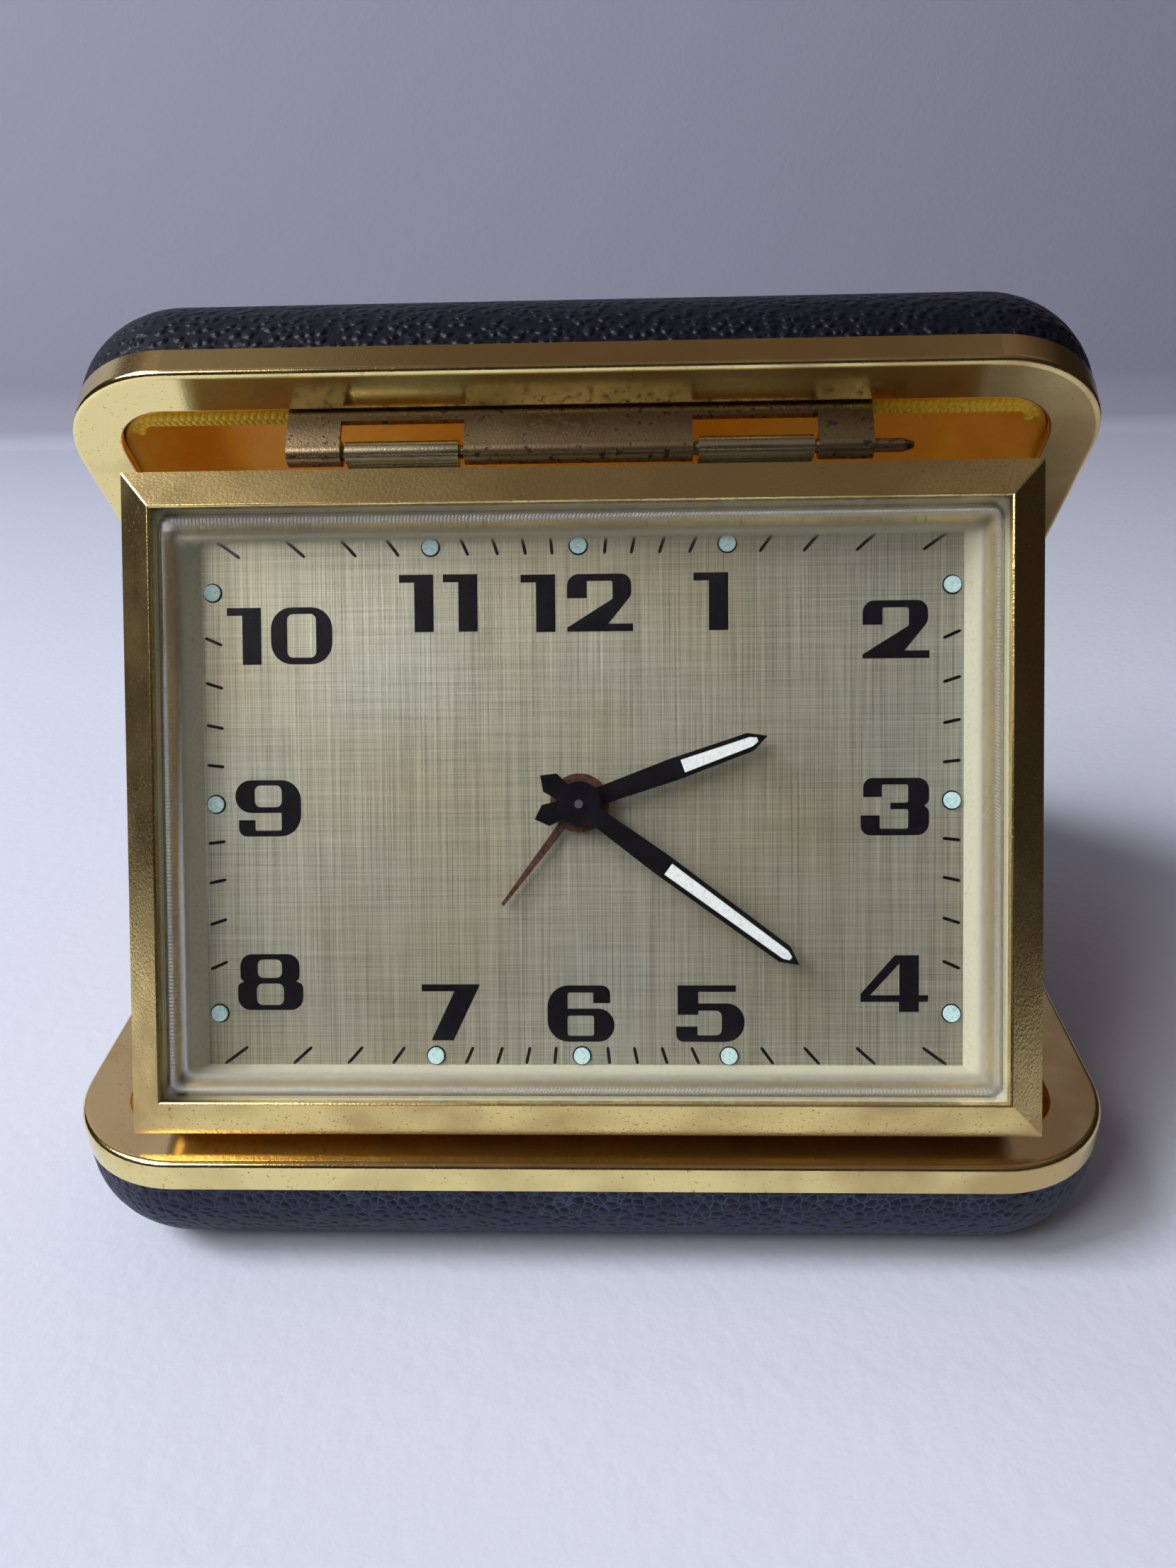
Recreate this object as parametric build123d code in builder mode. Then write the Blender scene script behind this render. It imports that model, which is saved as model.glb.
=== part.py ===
from build123d import *

import os
from math import acos, atan2, ceil, cos, degrees, hypot, radians, sin

os.makedirs("parts", exist_ok=True)

# A folding travel alarm clock, in millimetres. X is right, Y is back and Z is up.
# The origin is the centre of the face that the base half rests on.

# Both half shells
shell_width = 92.0
shell_depth = 76.0
shell_height = 13.0
shell_corner_radius = 11.0
frame_thickness = 0.7
frame_side_height = 2.8
frame_edge_radius = 0.6
opening_edge_radius = 0.2
flange_width_front = 4.4
flange_width_side = 4.75
opening_corner_radius = 5.2
leather_thickness = 0.6
leather_edge_radius = 8.8
leather_inset = 0.1
tray_thickness = 0.6
glue_gap = 0.05
lining_thickness = 0.5
lining_overlap = 0.8
lining_draft = 4.8
lining_corner_radius = 5.6
lining_front_set_back = 1.0
lining_front_drop = 0.65

# How the open clock stands: its lip stays just clear of the base's front flange
lip_set_back = 2.381
lip_rest_gap = 1.278

# Rear hinge
rear_leaf_length = 46.0
rear_leaf_depth = 4.1
rear_leaf_thickness = 0.5
rear_knuckle_radius = 1.2
rear_pin_radius = 0.5
rear_knuckle_count = 5
rear_knuckle_gap = 0.15
knuckle_clearance = 0.25
pin_clearance = 0.04
notch_clearance = 0.1

# Clock hinge, measured from the lid's front edge and out of its flange plane
clock_pin_set_back = 6.35
clock_pin_drop = 3.2
clock_pin_radius = 0.58
clock_pin_end = 28.6
clock_pin_chamfer = 0.9
clock_leaf_length = 50.3
clock_leaf_thickness = 0.5
clock_leaf_radius = 1.1
clock_leaf_foot = 3.4
clock_leaf_set_back = 4.7
window_start = 9.8
window_length = 10.7
window_head = 1.25
knuckle_start = 10.3
knuckle_length = 9.8
clock_knuckle_radius = 1.0
clock_knuckle_foot = 4.0

# Cord that trims the lid lining
cord_radius = 0.85
cord_depth = 2.2
cord_bend_radius = 4.5
cord_tail = 6.0

# Clock case and bezel: the margins are what the lip leaves of the shell
lip_side_margin = 7.5
lip_end_margin = 9.875
pin_above_lip = 2.14
pin_behind_lip = 3.6
bezel_inset = 3.4
bezel_rise = 3.1
bezel_land = 0.2
bezel_edge_radius = 0.15
case_inset = 1.2
case_wall = 0.8
case_depth = 13.3
case_corner_radius = 2.0
cover_thickness = 0.7
cover_edge_radius = 0.5
post_size = 5.5
cover_screw_radius = 0.7
cover_screw_head_radius = 1.4
screw_head_height = 0.6
screw_slot_width = 0.4
screw_slot_depth = 0.3
screw_length = 4.0

# Crystal, rehaut and dial
crystal_seat = 0.95
crystal_flange = 0.75
crystal_flange_overlap = 1.1
crystal_wall = 0.8
crystal_clearance = 0.1
crystal_shoulder = 2.6
crystal_top = 4.1
crystal_slope = 1.6
rehaut_land = 1.3
rehaut_side_width = 3.6
rehaut_end_width = 3.0
dial_depth = 2.0
dial_thickness = 0.5
dial_clearance = 0.25
dial_foot_radius = 1.0
dial_foot_inset = 5.2
track_side_inset = 5.9
track_end_inset = 5.125
dot_radius = 0.7
dot_height = 0.25

# Hands, with heights from the lip plane
minute_angle = 126.5
hour_angle = 70.6
alarm_angle = 217.5
minute_hand_length = 22.7
hour_hand_length = 16.7
alarm_hand_length = 10.9
hand_tail = 4.0
hand_thickness = 0.25
hand_hub_radius = 1.85
hand_width = 1.9
hand_neck_width = 1.5
lume_width = 1.1
lume_start = 9.2
lume_margin = 0.9
lume_shoulder_share = 0.36
lume_tip_share = 0.15
tail_shoulder_share = 0.75
hub_rear_share = 0.8
hub_front_share = 0.9
blade_start_share = 0.9
tip_length_share = 0.8
tip_width_share = 0.42
minute_hand_level = 0.4
hour_hand_level = -0.4
alarm_hand_level = -1.2
alarm_disc_radius = 2.5
alarm_hand_width = 0.9
alarm_hand_tip_width = 0.3
hand_stub_level = 1.0
hand_stub_radius = 0.35

# Movement plates
plate_clearance = 0.3
back_plate_side_inset = 6.2
back_plate_end_inset = 3.8
plate_corner_radius = 2.0
plate_thickness = 0.9
front_plate_level = -5.9
back_plate_level = -11.9
pillar_radius = 1.5
pillar_inset = 4.0
nut_radius = 1.8
nut_height = 0.8
pivot_radius = 0.35
arbor_radius = 0.5
running_clearance = 0.05
press_gap = 0.02

# Tubes that carry the hands, one inside the next
tube_wall = 0.35

# Wheels: distances between arbors, and teeth
train_pitch_start = 11.08
centre_third_distance = 7.2
third_fourth_distance = 6.12
fourth_escape_distance = 4.86
motion_distance = 7.6
alarm_set_distance = 7.8
ringing_distance = 8.6
barrel_teeth = 48
centre_pinion_teeth = 8
centre_wheel_teeth = 48
third_pinion_teeth = 6
third_wheel_teeth = 45
fourth_pinion_teeth = 6
fourth_wheel_teeth = 48
escape_pinion_teeth = 6
escape_teeth = 15
cannon_teeth = 10
minute_wheel_teeth = 30
minute_pinion_teeth = 8
hour_wheel_teeth = 32
alarm_wheel_teeth = 36
alarm_pinion_teeth = 12
alarm_barrel_teeth = 40
ringing_pinion_teeth = 8
ringing_teeth = 14
addendum_share = 0.75
dedendum_share = 1.05
root_half_share = 0.2
tip_half_share = 0.1
wheel_thickness = 0.5
thin_wheel = 0.4

# Directions from one arbor to the next, in degrees
barrel_direction = 150.0
third_direction = -60.0
fourth_direction = -100.0
escape_direction = 180.0
motion_direction = 80.0
alarm_set_direction = -110.0
strike_direction = -30.0

# Places of the arbors that no wheel sets
alarm_barrel_x = 12.0
alarm_barrel_y = 7.5
pallet_x = -6.9
pallet_y = -12.9
balance_x = -13.4
balance_y = -13.5
hammer_x = 22.5
hammer_y = -5.0
stop_x = 22.0
stop_y = -14.5

# Levels of the wheels, each the lower face
barrel_level = -10.6
barrel_height = 2.3
barrel_tooth_level = -8.9
barrel_tooth_height = 0.6
barrel_wall = 0.5
spring_width = 1.3
spring_strip = 0.25
spring_turns = 3.5
spring_reach_share = 0.8
spring_points_per_turn = 14
hub_radius = 1.5
centre_wheel_level = -6.8
third_wheel_level = -7.7
fourth_wheel_level = -8.7
escape_wheel_level = -9.5
pinion_overlap = 0.3
motion_level = -4.8
motion_thickness = 0.6
hour_wheel_level = -3.95
alarm_wheel_level = -3.25

# Escapement and balance
escape_radius = 2.9
escape_root_radius = 2.2
pallet_span = 4.8
pallet_reach = 1.9
pallet_pin_radius = 0.25
pallet_thickness = 0.5
fork_length = 3.6
fork_width = 1.3
fork_notch = 0.7
balance_radius = 5.6
balance_rim = 0.8
balance_thickness = 0.6
balance_level = -8.2
roller_radius = 1.0
roller_pin_reach = 0.7
roller_pin_radius = 0.2
hairspring_level = -6.9
hairspring_width = 0.3
hairspring_strip = 0.15
hairspring_radius = 3.2
hairspring_inner_radius = 0.9
jewel_radius = 0.8
jewel_hole_radius = 0.3
jewel_thickness = 0.5

# Alarm ringing wheel and hammer
ringing_radius = 3.2
ringing_root_radius = 2.3
ringing_wheel_level = -7.8
hammer_pillar_clearance = 1.25
hammer_head_radius = 1.8
hammer_verge = 5.2
hammer_verge_span = 3.8
hammer_thickness = 0.6
hammer_head_drop = 0.6
hammer_head_rise = 1.2
hammer_level = -7.8

# Keys, knobs and levers on the back
key_height = 3.0
key_hub_radius = 2.4
key_wing_length = 12.0
key_wing_width = 3.4
key_wing_height = 1.4
knob_radius = 3.4
knob_height = 2.4
knob_bore_depth = 1.6
knob_ridges = 24
knob_ridge_depth = 0.3
back_clearance = 0.25
lever_thickness = 0.5
lever_width = 1.6
stop_reach = 5.0
stop_tab_radius = 1.5
stop_tab_height = 1.2
stop_angle = 100.0
stop_swing = 25.0
regulator_reach = 4.2
regulator_angle = 90.0
regulator_swing = 20.0
regulator_tab_width = 0.9
regulator_tab_height = 0.6
regulator_ring_radius = 1.9
regulator_boss_radius = 1.0
slot_clearance = 0.3
overrun = 1.0

# Sizes that follow from the shell
lip_width = shell_width - 2 * lip_side_margin
lip_height = shell_depth - 2 * lip_end_margin
clock_pin_reach = shell_depth - clock_pin_set_back
clock_leaf_root = shell_depth - clock_leaf_set_back

# Seen from the side, base, lid and clock make a triangle, which sets how far the lid opens
base_side = hypot(shell_depth - lip_set_back, lip_rest_gap)
lid_side = hypot(clock_pin_reach, clock_pin_drop)
clock_side = hypot(lip_height + pin_above_lip, pin_behind_lip)
axis_corner = acos((base_side**2 + lid_side**2 - clock_side**2) / (2 * base_side * lid_side))
base_rise = atan2(lip_rest_gap, shell_depth - lip_set_back)
pin_dip = atan2(clock_pin_drop, clock_pin_reach)
lid_angle = degrees(base_rise + axis_corner + pin_dip)

# Planes of the four moving frames
rear_axis_y = shell_depth / 2
lid_out = Vector(0, -sin(radians(lid_angle)), -cos(radians(lid_angle)))
lid_front = Vector(0, -cos(radians(lid_angle)), sin(radians(lid_angle)))
rear_axis = Vector(0, rear_axis_y, shell_height)
base_plane = Plane(origin=(0, 0, shell_height), x_dir=(1, 0, 0), z_dir=(0, 0, 1))
lid_plane = Plane(
    origin=rear_axis + lid_front * (shell_depth / 2),
    x_dir=(1, 0, 0),
    z_dir=lid_out,
)
base_section = Plane(origin=rear_axis, x_dir=(0, -1, 0), z_dir=(-1, 0, 0))
lid_section = Plane(origin=rear_axis, x_dir=lid_front, z_dir=(1, 0, 0))

clock_pin = rear_axis + lid_front * clock_pin_reach + lid_out * clock_pin_drop
lip_foot = Vector(0, lip_set_back - rear_axis_y, shell_height + lip_rest_gap)
strut = clock_pin - lip_foot
dial_lean = degrees(atan2(strut.Y, strut.Z) - atan2(pin_behind_lip, lip_height + pin_above_lip))
dial_up = Vector(0, sin(radians(dial_lean)), cos(radians(dial_lean)))
dial_out = Vector(0, -cos(radians(dial_lean)), sin(radians(dial_lean)))
hands_axis = clock_pin - dial_up * (lip_height / 2 + pin_above_lip) + dial_out * pin_behind_lip
clock_plane = Plane(origin=hands_axis, x_dir=(1, 0, 0), z_dir=dial_out)
clock_section = Plane(origin=hands_axis, x_dir=dial_up, z_dir=(1, 0, 0))

# Sizes that several pieces share
opening_half_width = shell_width / 2 - flange_width_side
opening_half_depth = shell_depth / 2 - flange_width_front
leather_bottom = -shell_height
tray_inset = leather_inset + leather_thickness + glue_gap
tray_bottom = leather_bottom + leather_thickness + glue_gap
lining_bottom = tray_bottom + tray_thickness + glue_gap
case_half_width = lip_width / 2 - case_inset
case_half_height = lip_height / 2 - case_inset
bezel_half_width = lip_width / 2 - bezel_inset - bezel_land
bezel_half_height = lip_height / 2 - bezel_inset - bezel_land
crystal_half_width = bezel_half_width + crystal_flange_overlap
crystal_half_height = bezel_half_height + crystal_flange_overlap
dial_face = -dial_depth
cover_level = -case_depth - cover_thickness
front_plate_width = 2 * (case_half_width - case_wall - plate_clearance)
front_plate_height = 2 * (case_half_height - case_wall - plate_clearance)
back_plate_width = front_plate_width - 2 * back_plate_side_inset
back_plate_height = front_plate_height - 2 * back_plate_end_inset
front_plate_top = front_plate_level + plate_thickness
back_plate_top = back_plate_level + plate_thickness
stop_lever_level = back_plate_level - lever_thickness - running_clearance


def export(part, name):
    """Labels a finished piece and writes it to its own file."""
    part.label = name
    export_step(part, f"parts/{name}.step")
    print(name, round(part.volume, 2))


def toward(start, distance, direction):
    """The point at a distance and a direction in degrees from a start."""
    angle = radians(direction)
    return (start[0] + distance * cos(angle), start[1] + distance * sin(angle))


def direction_between(start, end):
    """The direction from one point to another, in degrees."""
    return degrees(atan2(end[1] - start[1], end[0] - start[0]))


def clock_angle(angle):
    """Turns an angle clockwise from twelve into a direction on the dial plane."""
    return 90 - angle


# Shapes that the two half shells share


def rounded_block(plane, inset, top, bottom, edge_radius):
    """A filled half shell: a rounded rectangle with its far edge rounded over."""
    with BuildPart() as block:
        with BuildSketch(plane.offset(bottom)):
            RectangleRounded(
                shell_width - 2 * inset,
                shell_depth - 2 * inset,
                shell_corner_radius - inset,
            )
        extrude(amount=top - bottom)
        far_edges = block.edges().group_by(Axis(plane.origin, plane.z_dir))[0]
        fillet(far_edges, edge_radius)
    return block.part


def knuckle_cut(section):
    """The round room along the rear edge in which the hinge knuckles turn."""
    half_length = rear_leaf_length / 2 + knuckle_clearance
    with BuildPart() as room:
        with BuildSketch(section.offset(-half_length)):
            Circle(rear_knuckle_radius + knuckle_clearance)
        extrude(amount=2 * half_length)
    return room.part


def shell_frame(plane, section):
    """The bright frame of a half shell: flange, rounded edge and side wall."""
    room = knuckle_cut(section)
    with BuildPart() as frame:
        with BuildSketch(plane.offset(-frame_side_height)):
            RectangleRounded(shell_width, shell_depth, shell_corner_radius)
        extrude(amount=frame_side_height)
        rim_edges = frame.edges().group_by(Axis(plane.origin, plane.z_dir))[-1]
        fillet(rim_edges, frame_edge_radius)
        with BuildSketch(plane.offset(-frame_side_height)):
            RectangleRounded(
                shell_width - 2 * frame_thickness,
                shell_depth - 2 * frame_thickness,
                shell_corner_radius - frame_thickness,
            )
        extrude(amount=frame_side_height - frame_thickness, mode=Mode.SUBTRACT)
        with BuildSketch(plane.offset(-frame_side_height)):
            RectangleRounded(2 * opening_half_width, 2 * opening_half_depth, opening_corner_radius)
        extrude(amount=frame_side_height, mode=Mode.SUBTRACT)
        rim_edges = frame.edges().group_by(Axis(plane.origin, plane.z_dir))[-1]
        opening_edges = rim_edges.filter_by(
            lambda edge: abs(plane.to_local_coords(edge).center().Y) < opening_half_depth + frame_thickness
            and abs(plane.to_local_coords(edge).center().X) < opening_half_width + frame_thickness
        )
        fillet(opening_edges, opening_edge_radius)
        add(room, mode=Mode.SUBTRACT)
    return frame.part


def shell_tray(plane, section):
    """The pressed tray under the frame, cut away at the rear for the hinge leaf."""
    hollow = rounded_block(
        plane,
        tray_inset + tray_thickness,
        overrun,
        tray_bottom + tray_thickness,
        leather_edge_radius - leather_thickness - tray_thickness,
    )
    half_length = rear_leaf_length / 2 + notch_clearance
    notch_height = rear_leaf_depth + notch_clearance
    notch_depth = tray_inset + tray_thickness + notch_clearance
    with BuildPart() as tray:
        add(
            rounded_block(
                plane,
                tray_inset,
                -frame_thickness,
                tray_bottom,
                leather_edge_radius - leather_thickness,
            )
        )
        add(hollow, mode=Mode.SUBTRACT)
        with BuildSketch(section.offset(-half_length)):
            with Locations((notch_depth / 2, -notch_height / 2)):
                Rectangle(notch_depth, notch_height)
        extrude(amount=2 * half_length, mode=Mode.SUBTRACT)
    return tray.part


def shell_leather(plane):
    """The leathercloth skin, from the frame's side wall to the resting face."""
    core = rounded_block(
        plane,
        leather_inset + leather_thickness,
        overrun,
        leather_bottom + leather_thickness,
        leather_edge_radius - leather_thickness,
    )
    with BuildPart() as leather:
        add(
            rounded_block(
                plane,
                leather_inset,
                -frame_side_height,
                leather_bottom,
                leather_edge_radius,
            )
        )
        add(core, mode=Mode.SUBTRACT)
    return leather.part


def lining_block(plane, inset, top, bottom, front_set_back):
    """A filled lining: it narrows from the flange to the floor."""
    width = opening_half_width + lining_overlap - inset
    rear = opening_half_depth + lining_overlap - inset
    front = rear - front_set_back
    with BuildPart() as block:
        with BuildSketch(plane.offset(bottom)):
            with Locations((0, (front - rear) / 2)):
                RectangleRounded(
                    2 * (width - lining_draft),
                    front + rear - 2 * lining_draft,
                    lining_corner_radius - inset,
                )
        with BuildSketch(plane.offset(top)):
            with Locations((0, (front - rear) / 2)):
                RectangleRounded(2 * width, front + rear, lining_corner_radius - inset)
        loft(ruled=True)
    return block.part


def shell_lining(plane, front_set_back, top):
    """The fabric lining, a drafted tray that hides the pressed one."""
    floor = lining_bottom + lining_thickness
    hollow = lining_block(plane, lining_thickness, top, floor, front_set_back)
    with BuildPart() as lining:
        add(lining_block(plane, 0, top, lining_bottom, front_set_back))
        add(hollow, mode=Mode.SUBTRACT)
    return lining.part


# The rear hinge

knuckle_pitch = (rear_leaf_length + rear_knuckle_gap) / rear_knuckle_count
knuckle_spans = [
    (
        -rear_leaf_length / 2 + index * knuckle_pitch,
        -rear_leaf_length / 2 + (index + 1) * knuckle_pitch - rear_knuckle_gap,
    )
    for index in range(rear_knuckle_count)
]


def rear_leaf(section, spans):
    """One leaf of the rear hinge: a flat plate rolled into knuckles round the pin."""
    plate_top = rear_knuckle_radius + knuckle_clearance
    centre = frame_thickness + rear_leaf_thickness / 2
    with BuildPart() as leaf:
        with BuildSketch(section.offset(-rear_leaf_length / 2)):
            with Locations((centre, -(rear_leaf_depth + plate_top) / 2)):
                Rectangle(rear_leaf_thickness, rear_leaf_depth - plate_top)
        extrude(amount=rear_leaf_length)
        for start, end in spans:
            with BuildSketch(section.offset(start)):
                Circle(rear_knuckle_radius)
                with Locations((centre, -plate_top / 2)):
                    Rectangle(rear_leaf_thickness, plate_top)
            extrude(amount=end - start)
        with BuildSketch(section.offset(-rear_leaf_length / 2)):
            Circle(rear_pin_radius + pin_clearance)
        extrude(amount=rear_leaf_length, mode=Mode.SUBTRACT)
    return leaf.part


export(shell_frame(base_plane, base_section), "base_frame")
export(shell_tray(base_plane, base_section), "base_tray")
export(shell_leather(base_plane), "base_leather")
export(shell_lining(base_plane, 0, -frame_thickness - glue_gap), "base_lining")
export(shell_frame(lid_plane, lid_section), "lid_frame")
export(shell_tray(lid_plane, lid_section), "lid_tray")
export(shell_leather(lid_plane), "lid_leather")
lid_lining_top = -frame_thickness - lining_front_drop
export(shell_lining(lid_plane, lining_front_set_back + lining_overlap, lid_lining_top), "lid_lining")
export(rear_leaf(base_section, knuckle_spans[0::2]), "base_hinge_leaf")
export(rear_leaf(lid_section, knuckle_spans[1::2]), "lid_hinge_leaf")

with BuildPart() as rear_hinge_pin:
    with BuildSketch(base_section.offset(-rear_leaf_length / 2)):
        Circle(rear_pin_radius)
    extrude(amount=rear_leaf_length)
export(rear_hinge_pin.part, "rear_hinge_pin")

# The cord along the front edge of the lid lining, touching its sloping walls
lining_slope = lining_draft / (lid_lining_top - lining_bottom)
cord_reach = (cord_radius + glue_gap) / cos(atan2(lining_slope, 1))
cord_shift = (lid_lining_top + cord_depth) * lining_slope + cord_reach
cord_half = opening_half_width + lining_overlap - lining_thickness - cord_shift
cord_front = opening_half_depth - lining_front_set_back - lining_thickness - cord_shift
cord_plane = lid_plane.offset(-cord_depth)
with BuildPart() as lining_cord:
    with BuildLine(cord_plane) as cord_path:
        FilletPolyline(
            (-cord_half, cord_front - cord_tail),
            (-cord_half, cord_front),
            (cord_half, cord_front),
            (cord_half, cord_front - cord_tail),
            radius=cord_bend_radius,
        )
    with BuildSketch(Plane(cord_path.line @ 0, z_dir=cord_path.line % 0)):
        Circle(cord_radius)
    sweep()
export(lining_cord.part, "lining_cord")

# The leaf that carries the clock: its foot lies under the lid's front flange
foot_top = -frame_thickness
foot_bottom = foot_top - clock_leaf_thickness
leaf_tangent = clock_pin_reach + clock_leaf_radius
with BuildPart() as clock_hinge_leaf:
    with BuildSketch(lid_section.offset(-clock_leaf_length / 2)):
        with BuildLine():
            Polyline(
                (clock_leaf_root - clock_leaf_thickness, foot_bottom),
                (clock_leaf_root + clock_leaf_foot - clock_leaf_thickness, foot_bottom),
                (clock_leaf_root + clock_leaf_foot - clock_leaf_thickness, foot_top),
                (clock_leaf_root, foot_top),
                (leaf_tangent, clock_pin_drop),
                (leaf_tangent - clock_leaf_thickness, clock_pin_drop),
                close=True,
            )
        make_face()
        with Locations((clock_pin_reach, clock_pin_drop)):
            Circle(clock_leaf_radius)
    extrude(amount=clock_leaf_length)
    for start in (window_start, -window_start - window_length):
        with BuildSketch(lid_section.offset(start)):
            with Locations((clock_pin_reach, clock_pin_drop)):
                Rectangle(
                    2 * (clock_leaf_root - clock_pin_reach),
                    2 * (clock_leaf_radius + window_head),
                )
        extrude(amount=window_length, mode=Mode.SUBTRACT)
    with BuildSketch(lid_section.offset(-clock_leaf_length / 2)):
        with Locations((clock_pin_reach, clock_pin_drop)):
            Circle(clock_pin_radius + pin_clearance)
    extrude(amount=clock_leaf_length, mode=Mode.SUBTRACT)
export(clock_hinge_leaf.part, "clock_hinge_leaf")

with BuildPart() as clock_hinge_pin:
    with BuildSketch(lid_section.offset(-clock_leaf_length / 2)):
        with Locations((clock_pin_reach, clock_pin_drop)):
            Circle(clock_pin_radius)
    extrude(amount=clock_leaf_length / 2 + clock_pin_end)
    tip_edge = clock_hinge_pin.edges().sort_by(Axis.X)[-1]
    chamfer(tip_edge, clock_pin_chamfer, clock_pin_radius / 2)
export(clock_hinge_pin.part, "clock_hinge_pin")


# Helpers for the clock, which work inside its builder blocks


def disc(at, bottom, top, radius, mode=Mode.ADD):
    """A round piece on the clock plane."""
    with BuildSketch(clock_plane.offset(bottom)) as profile:
        with Locations(at):
            Circle(radius)
    extrude(profile.sketch, amount=top - bottom, mode=mode)


def slab(at, bottom, top, width, height, angle=0, mode=Mode.ADD):
    """A rectangular piece on the clock plane."""
    with BuildSketch(clock_plane.offset(bottom)) as profile:
        with Locations(at):
            Rectangle(width, height, rotation=angle)
    extrude(profile.sketch, amount=top - bottom, mode=mode)


def rounded_slab(bottom, top, width, height, radius, mode=Mode.ADD):
    """A rectangular piece with rounded corners, centred on the hands' axis."""
    with BuildSketch(clock_plane.offset(bottom)) as profile:
        RectangleRounded(width, height, radius)
    extrude(profile.sketch, amount=top - bottom, mode=mode)


def outline(points, bottom, top, mode=Mode.ADD):
    """A flat piece of the given outline on the clock plane."""
    with BuildSketch(clock_plane.offset(bottom)) as profile:
        with BuildLine():
            Polyline(*points, close=True)
        make_face()
    extrude(profile.sketch, amount=top - bottom, mode=mode)


def toothed(at, bottom, top, teeth, pitch_radius, tooth_direction):
    """A toothed wheel with the middle of one tooth in the given direction."""
    module = 2 * pitch_radius / teeth
    root = pitch_radius - module * dedendum_share
    tip = pitch_radius + module * addendum_share
    tooth = 360 / teeth
    points = []
    for index in range(teeth):
        middle = tooth_direction + index * tooth
        points.append(toward(at, root, middle - tooth * root_half_share))
        points.append(toward(at, tip, middle - tooth * tip_half_share))
        points.append(toward(at, tip, middle + tooth * tip_half_share))
        points.append(toward(at, root, middle + tooth * root_half_share))
    outline(points, bottom, top)


def meshed_radii(distance, wheel_teeth, pinion_teeth):
    """Pitch radii of a wheel and a pinion whose arbors stand a distance apart."""
    total = wheel_teeth + pinion_teeth
    return distance * wheel_teeth / total, distance * pinion_teeth / total


def frustum(bottom, top, lower_size, upper_size, mode=Mode.ADD):
    """A block whose four sides slope from the lower size to the upper size."""
    with BuildSketch(clock_plane.offset(bottom)) as lower:
        Rectangle(*lower_size)
    with BuildSketch(clock_plane.offset(top)) as upper:
        Rectangle(*upper_size)
    loft([lower.sketch, upper.sketch], ruled=True, mode=mode)


def clock_axis_groups(part):
    """Edges in order from the back of the clock to its front."""
    return part.edges().group_by(Axis(clock_plane.origin, clock_plane.z_dir))


# Bezel: four mitred bevels round the crystal

with BuildPart() as bezel:
    frustum(
        0,
        bezel_rise,
        (lip_width, lip_height),
        (2 * bezel_half_width + 2 * bezel_land, 2 * bezel_half_height + 2 * bezel_land),
    )
    lip_edges = clock_axis_groups(bezel)[0]
    fillet(bezel.edges() - lip_edges, bezel_edge_radius)
    slab((0, 0), 0, bezel_rise, 2 * bezel_half_width, 2 * bezel_half_height, mode=Mode.SUBTRACT)
    slab(
        (0, 0),
        0,
        crystal_seat + crystal_flange + press_gap,
        2 * (crystal_half_width + crystal_clearance),
        2 * (crystal_half_height + crystal_clearance),
        mode=Mode.SUBTRACT,
    )
export(bezel.part, "bezel")

# Crystal: a flange under the bezel and a raised box with sloping shoulders

crystal_box_width = 2 * (bezel_half_width - crystal_clearance)
crystal_box_height = 2 * (bezel_half_height - crystal_clearance)
plateau_size = (crystal_box_width - 2 * crystal_slope, crystal_box_height - 2 * crystal_slope)
inner_size = (crystal_box_width - 2 * crystal_wall, crystal_box_height - 2 * crystal_wall)
inner_plateau = (plateau_size[0] - 2 * crystal_wall, plateau_size[1] - 2 * crystal_wall)
with BuildPart() as crystal:
    slab(
        (0, 0),
        crystal_seat,
        crystal_seat + crystal_flange,
        2 * crystal_half_width,
        2 * crystal_half_height,
    )
    slab((0, 0), crystal_seat, crystal_shoulder, crystal_box_width, crystal_box_height)
    frustum(
        crystal_shoulder,
        crystal_top,
        (crystal_box_width, crystal_box_height),
        plateau_size,
    )
    slab((0, 0), crystal_seat, crystal_shoulder - crystal_wall, *inner_size, mode=Mode.SUBTRACT)
    frustum(
        crystal_shoulder - crystal_wall,
        crystal_top - crystal_wall,
        inner_size,
        inner_plateau,
        mode=Mode.SUBTRACT,
    )
export(crystal.part, "crystal")

# Rehaut: the sloping ring between the crystal and the dial

rehaut_outer = (2 * crystal_half_width, 2 * crystal_half_height)
rehaut_upper = (rehaut_outer[0] - 2 * rehaut_land, rehaut_outer[1] - 2 * rehaut_land)
rehaut_lower = (rehaut_outer[0] - 2 * rehaut_side_width, rehaut_outer[1] - 2 * rehaut_end_width)
with BuildPart() as rehaut:
    rounded_slab(dial_face, crystal_seat, *rehaut_outer, case_corner_radius - case_wall)
    frustum(dial_face, crystal_seat, rehaut_lower, rehaut_upper, mode=Mode.SUBTRACT)
export(rehaut.part, "rehaut")

# Case: four walls, open to the front and the back, with a post in each corner

post_centres = [
    (
        side_x * (case_half_width - case_wall - post_size / 2),
        side_y * (case_half_height - case_wall - post_size / 2),
    )
    for side_x in (-1, 1)
    for side_y in (-1, 1)
]
with BuildPart() as clock_case:
    rounded_slab(-case_depth, 0, 2 * case_half_width, 2 * case_half_height, case_corner_radius)
    rounded_slab(
        -case_depth,
        0,
        2 * (case_half_width - case_wall),
        2 * (case_half_height - case_wall),
        case_corner_radius - case_wall,
        mode=Mode.SUBTRACT,
    )
    for centre in post_centres:
        slab(centre, -case_depth, front_plate_level, post_size + glue_gap, post_size + glue_gap)
    for centre in post_centres:
        disc(centre, -case_depth, front_plate_level, cover_screw_radius + press_gap, mode=Mode.SUBTRACT)
export(clock_case.part, "clock_case")

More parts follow.
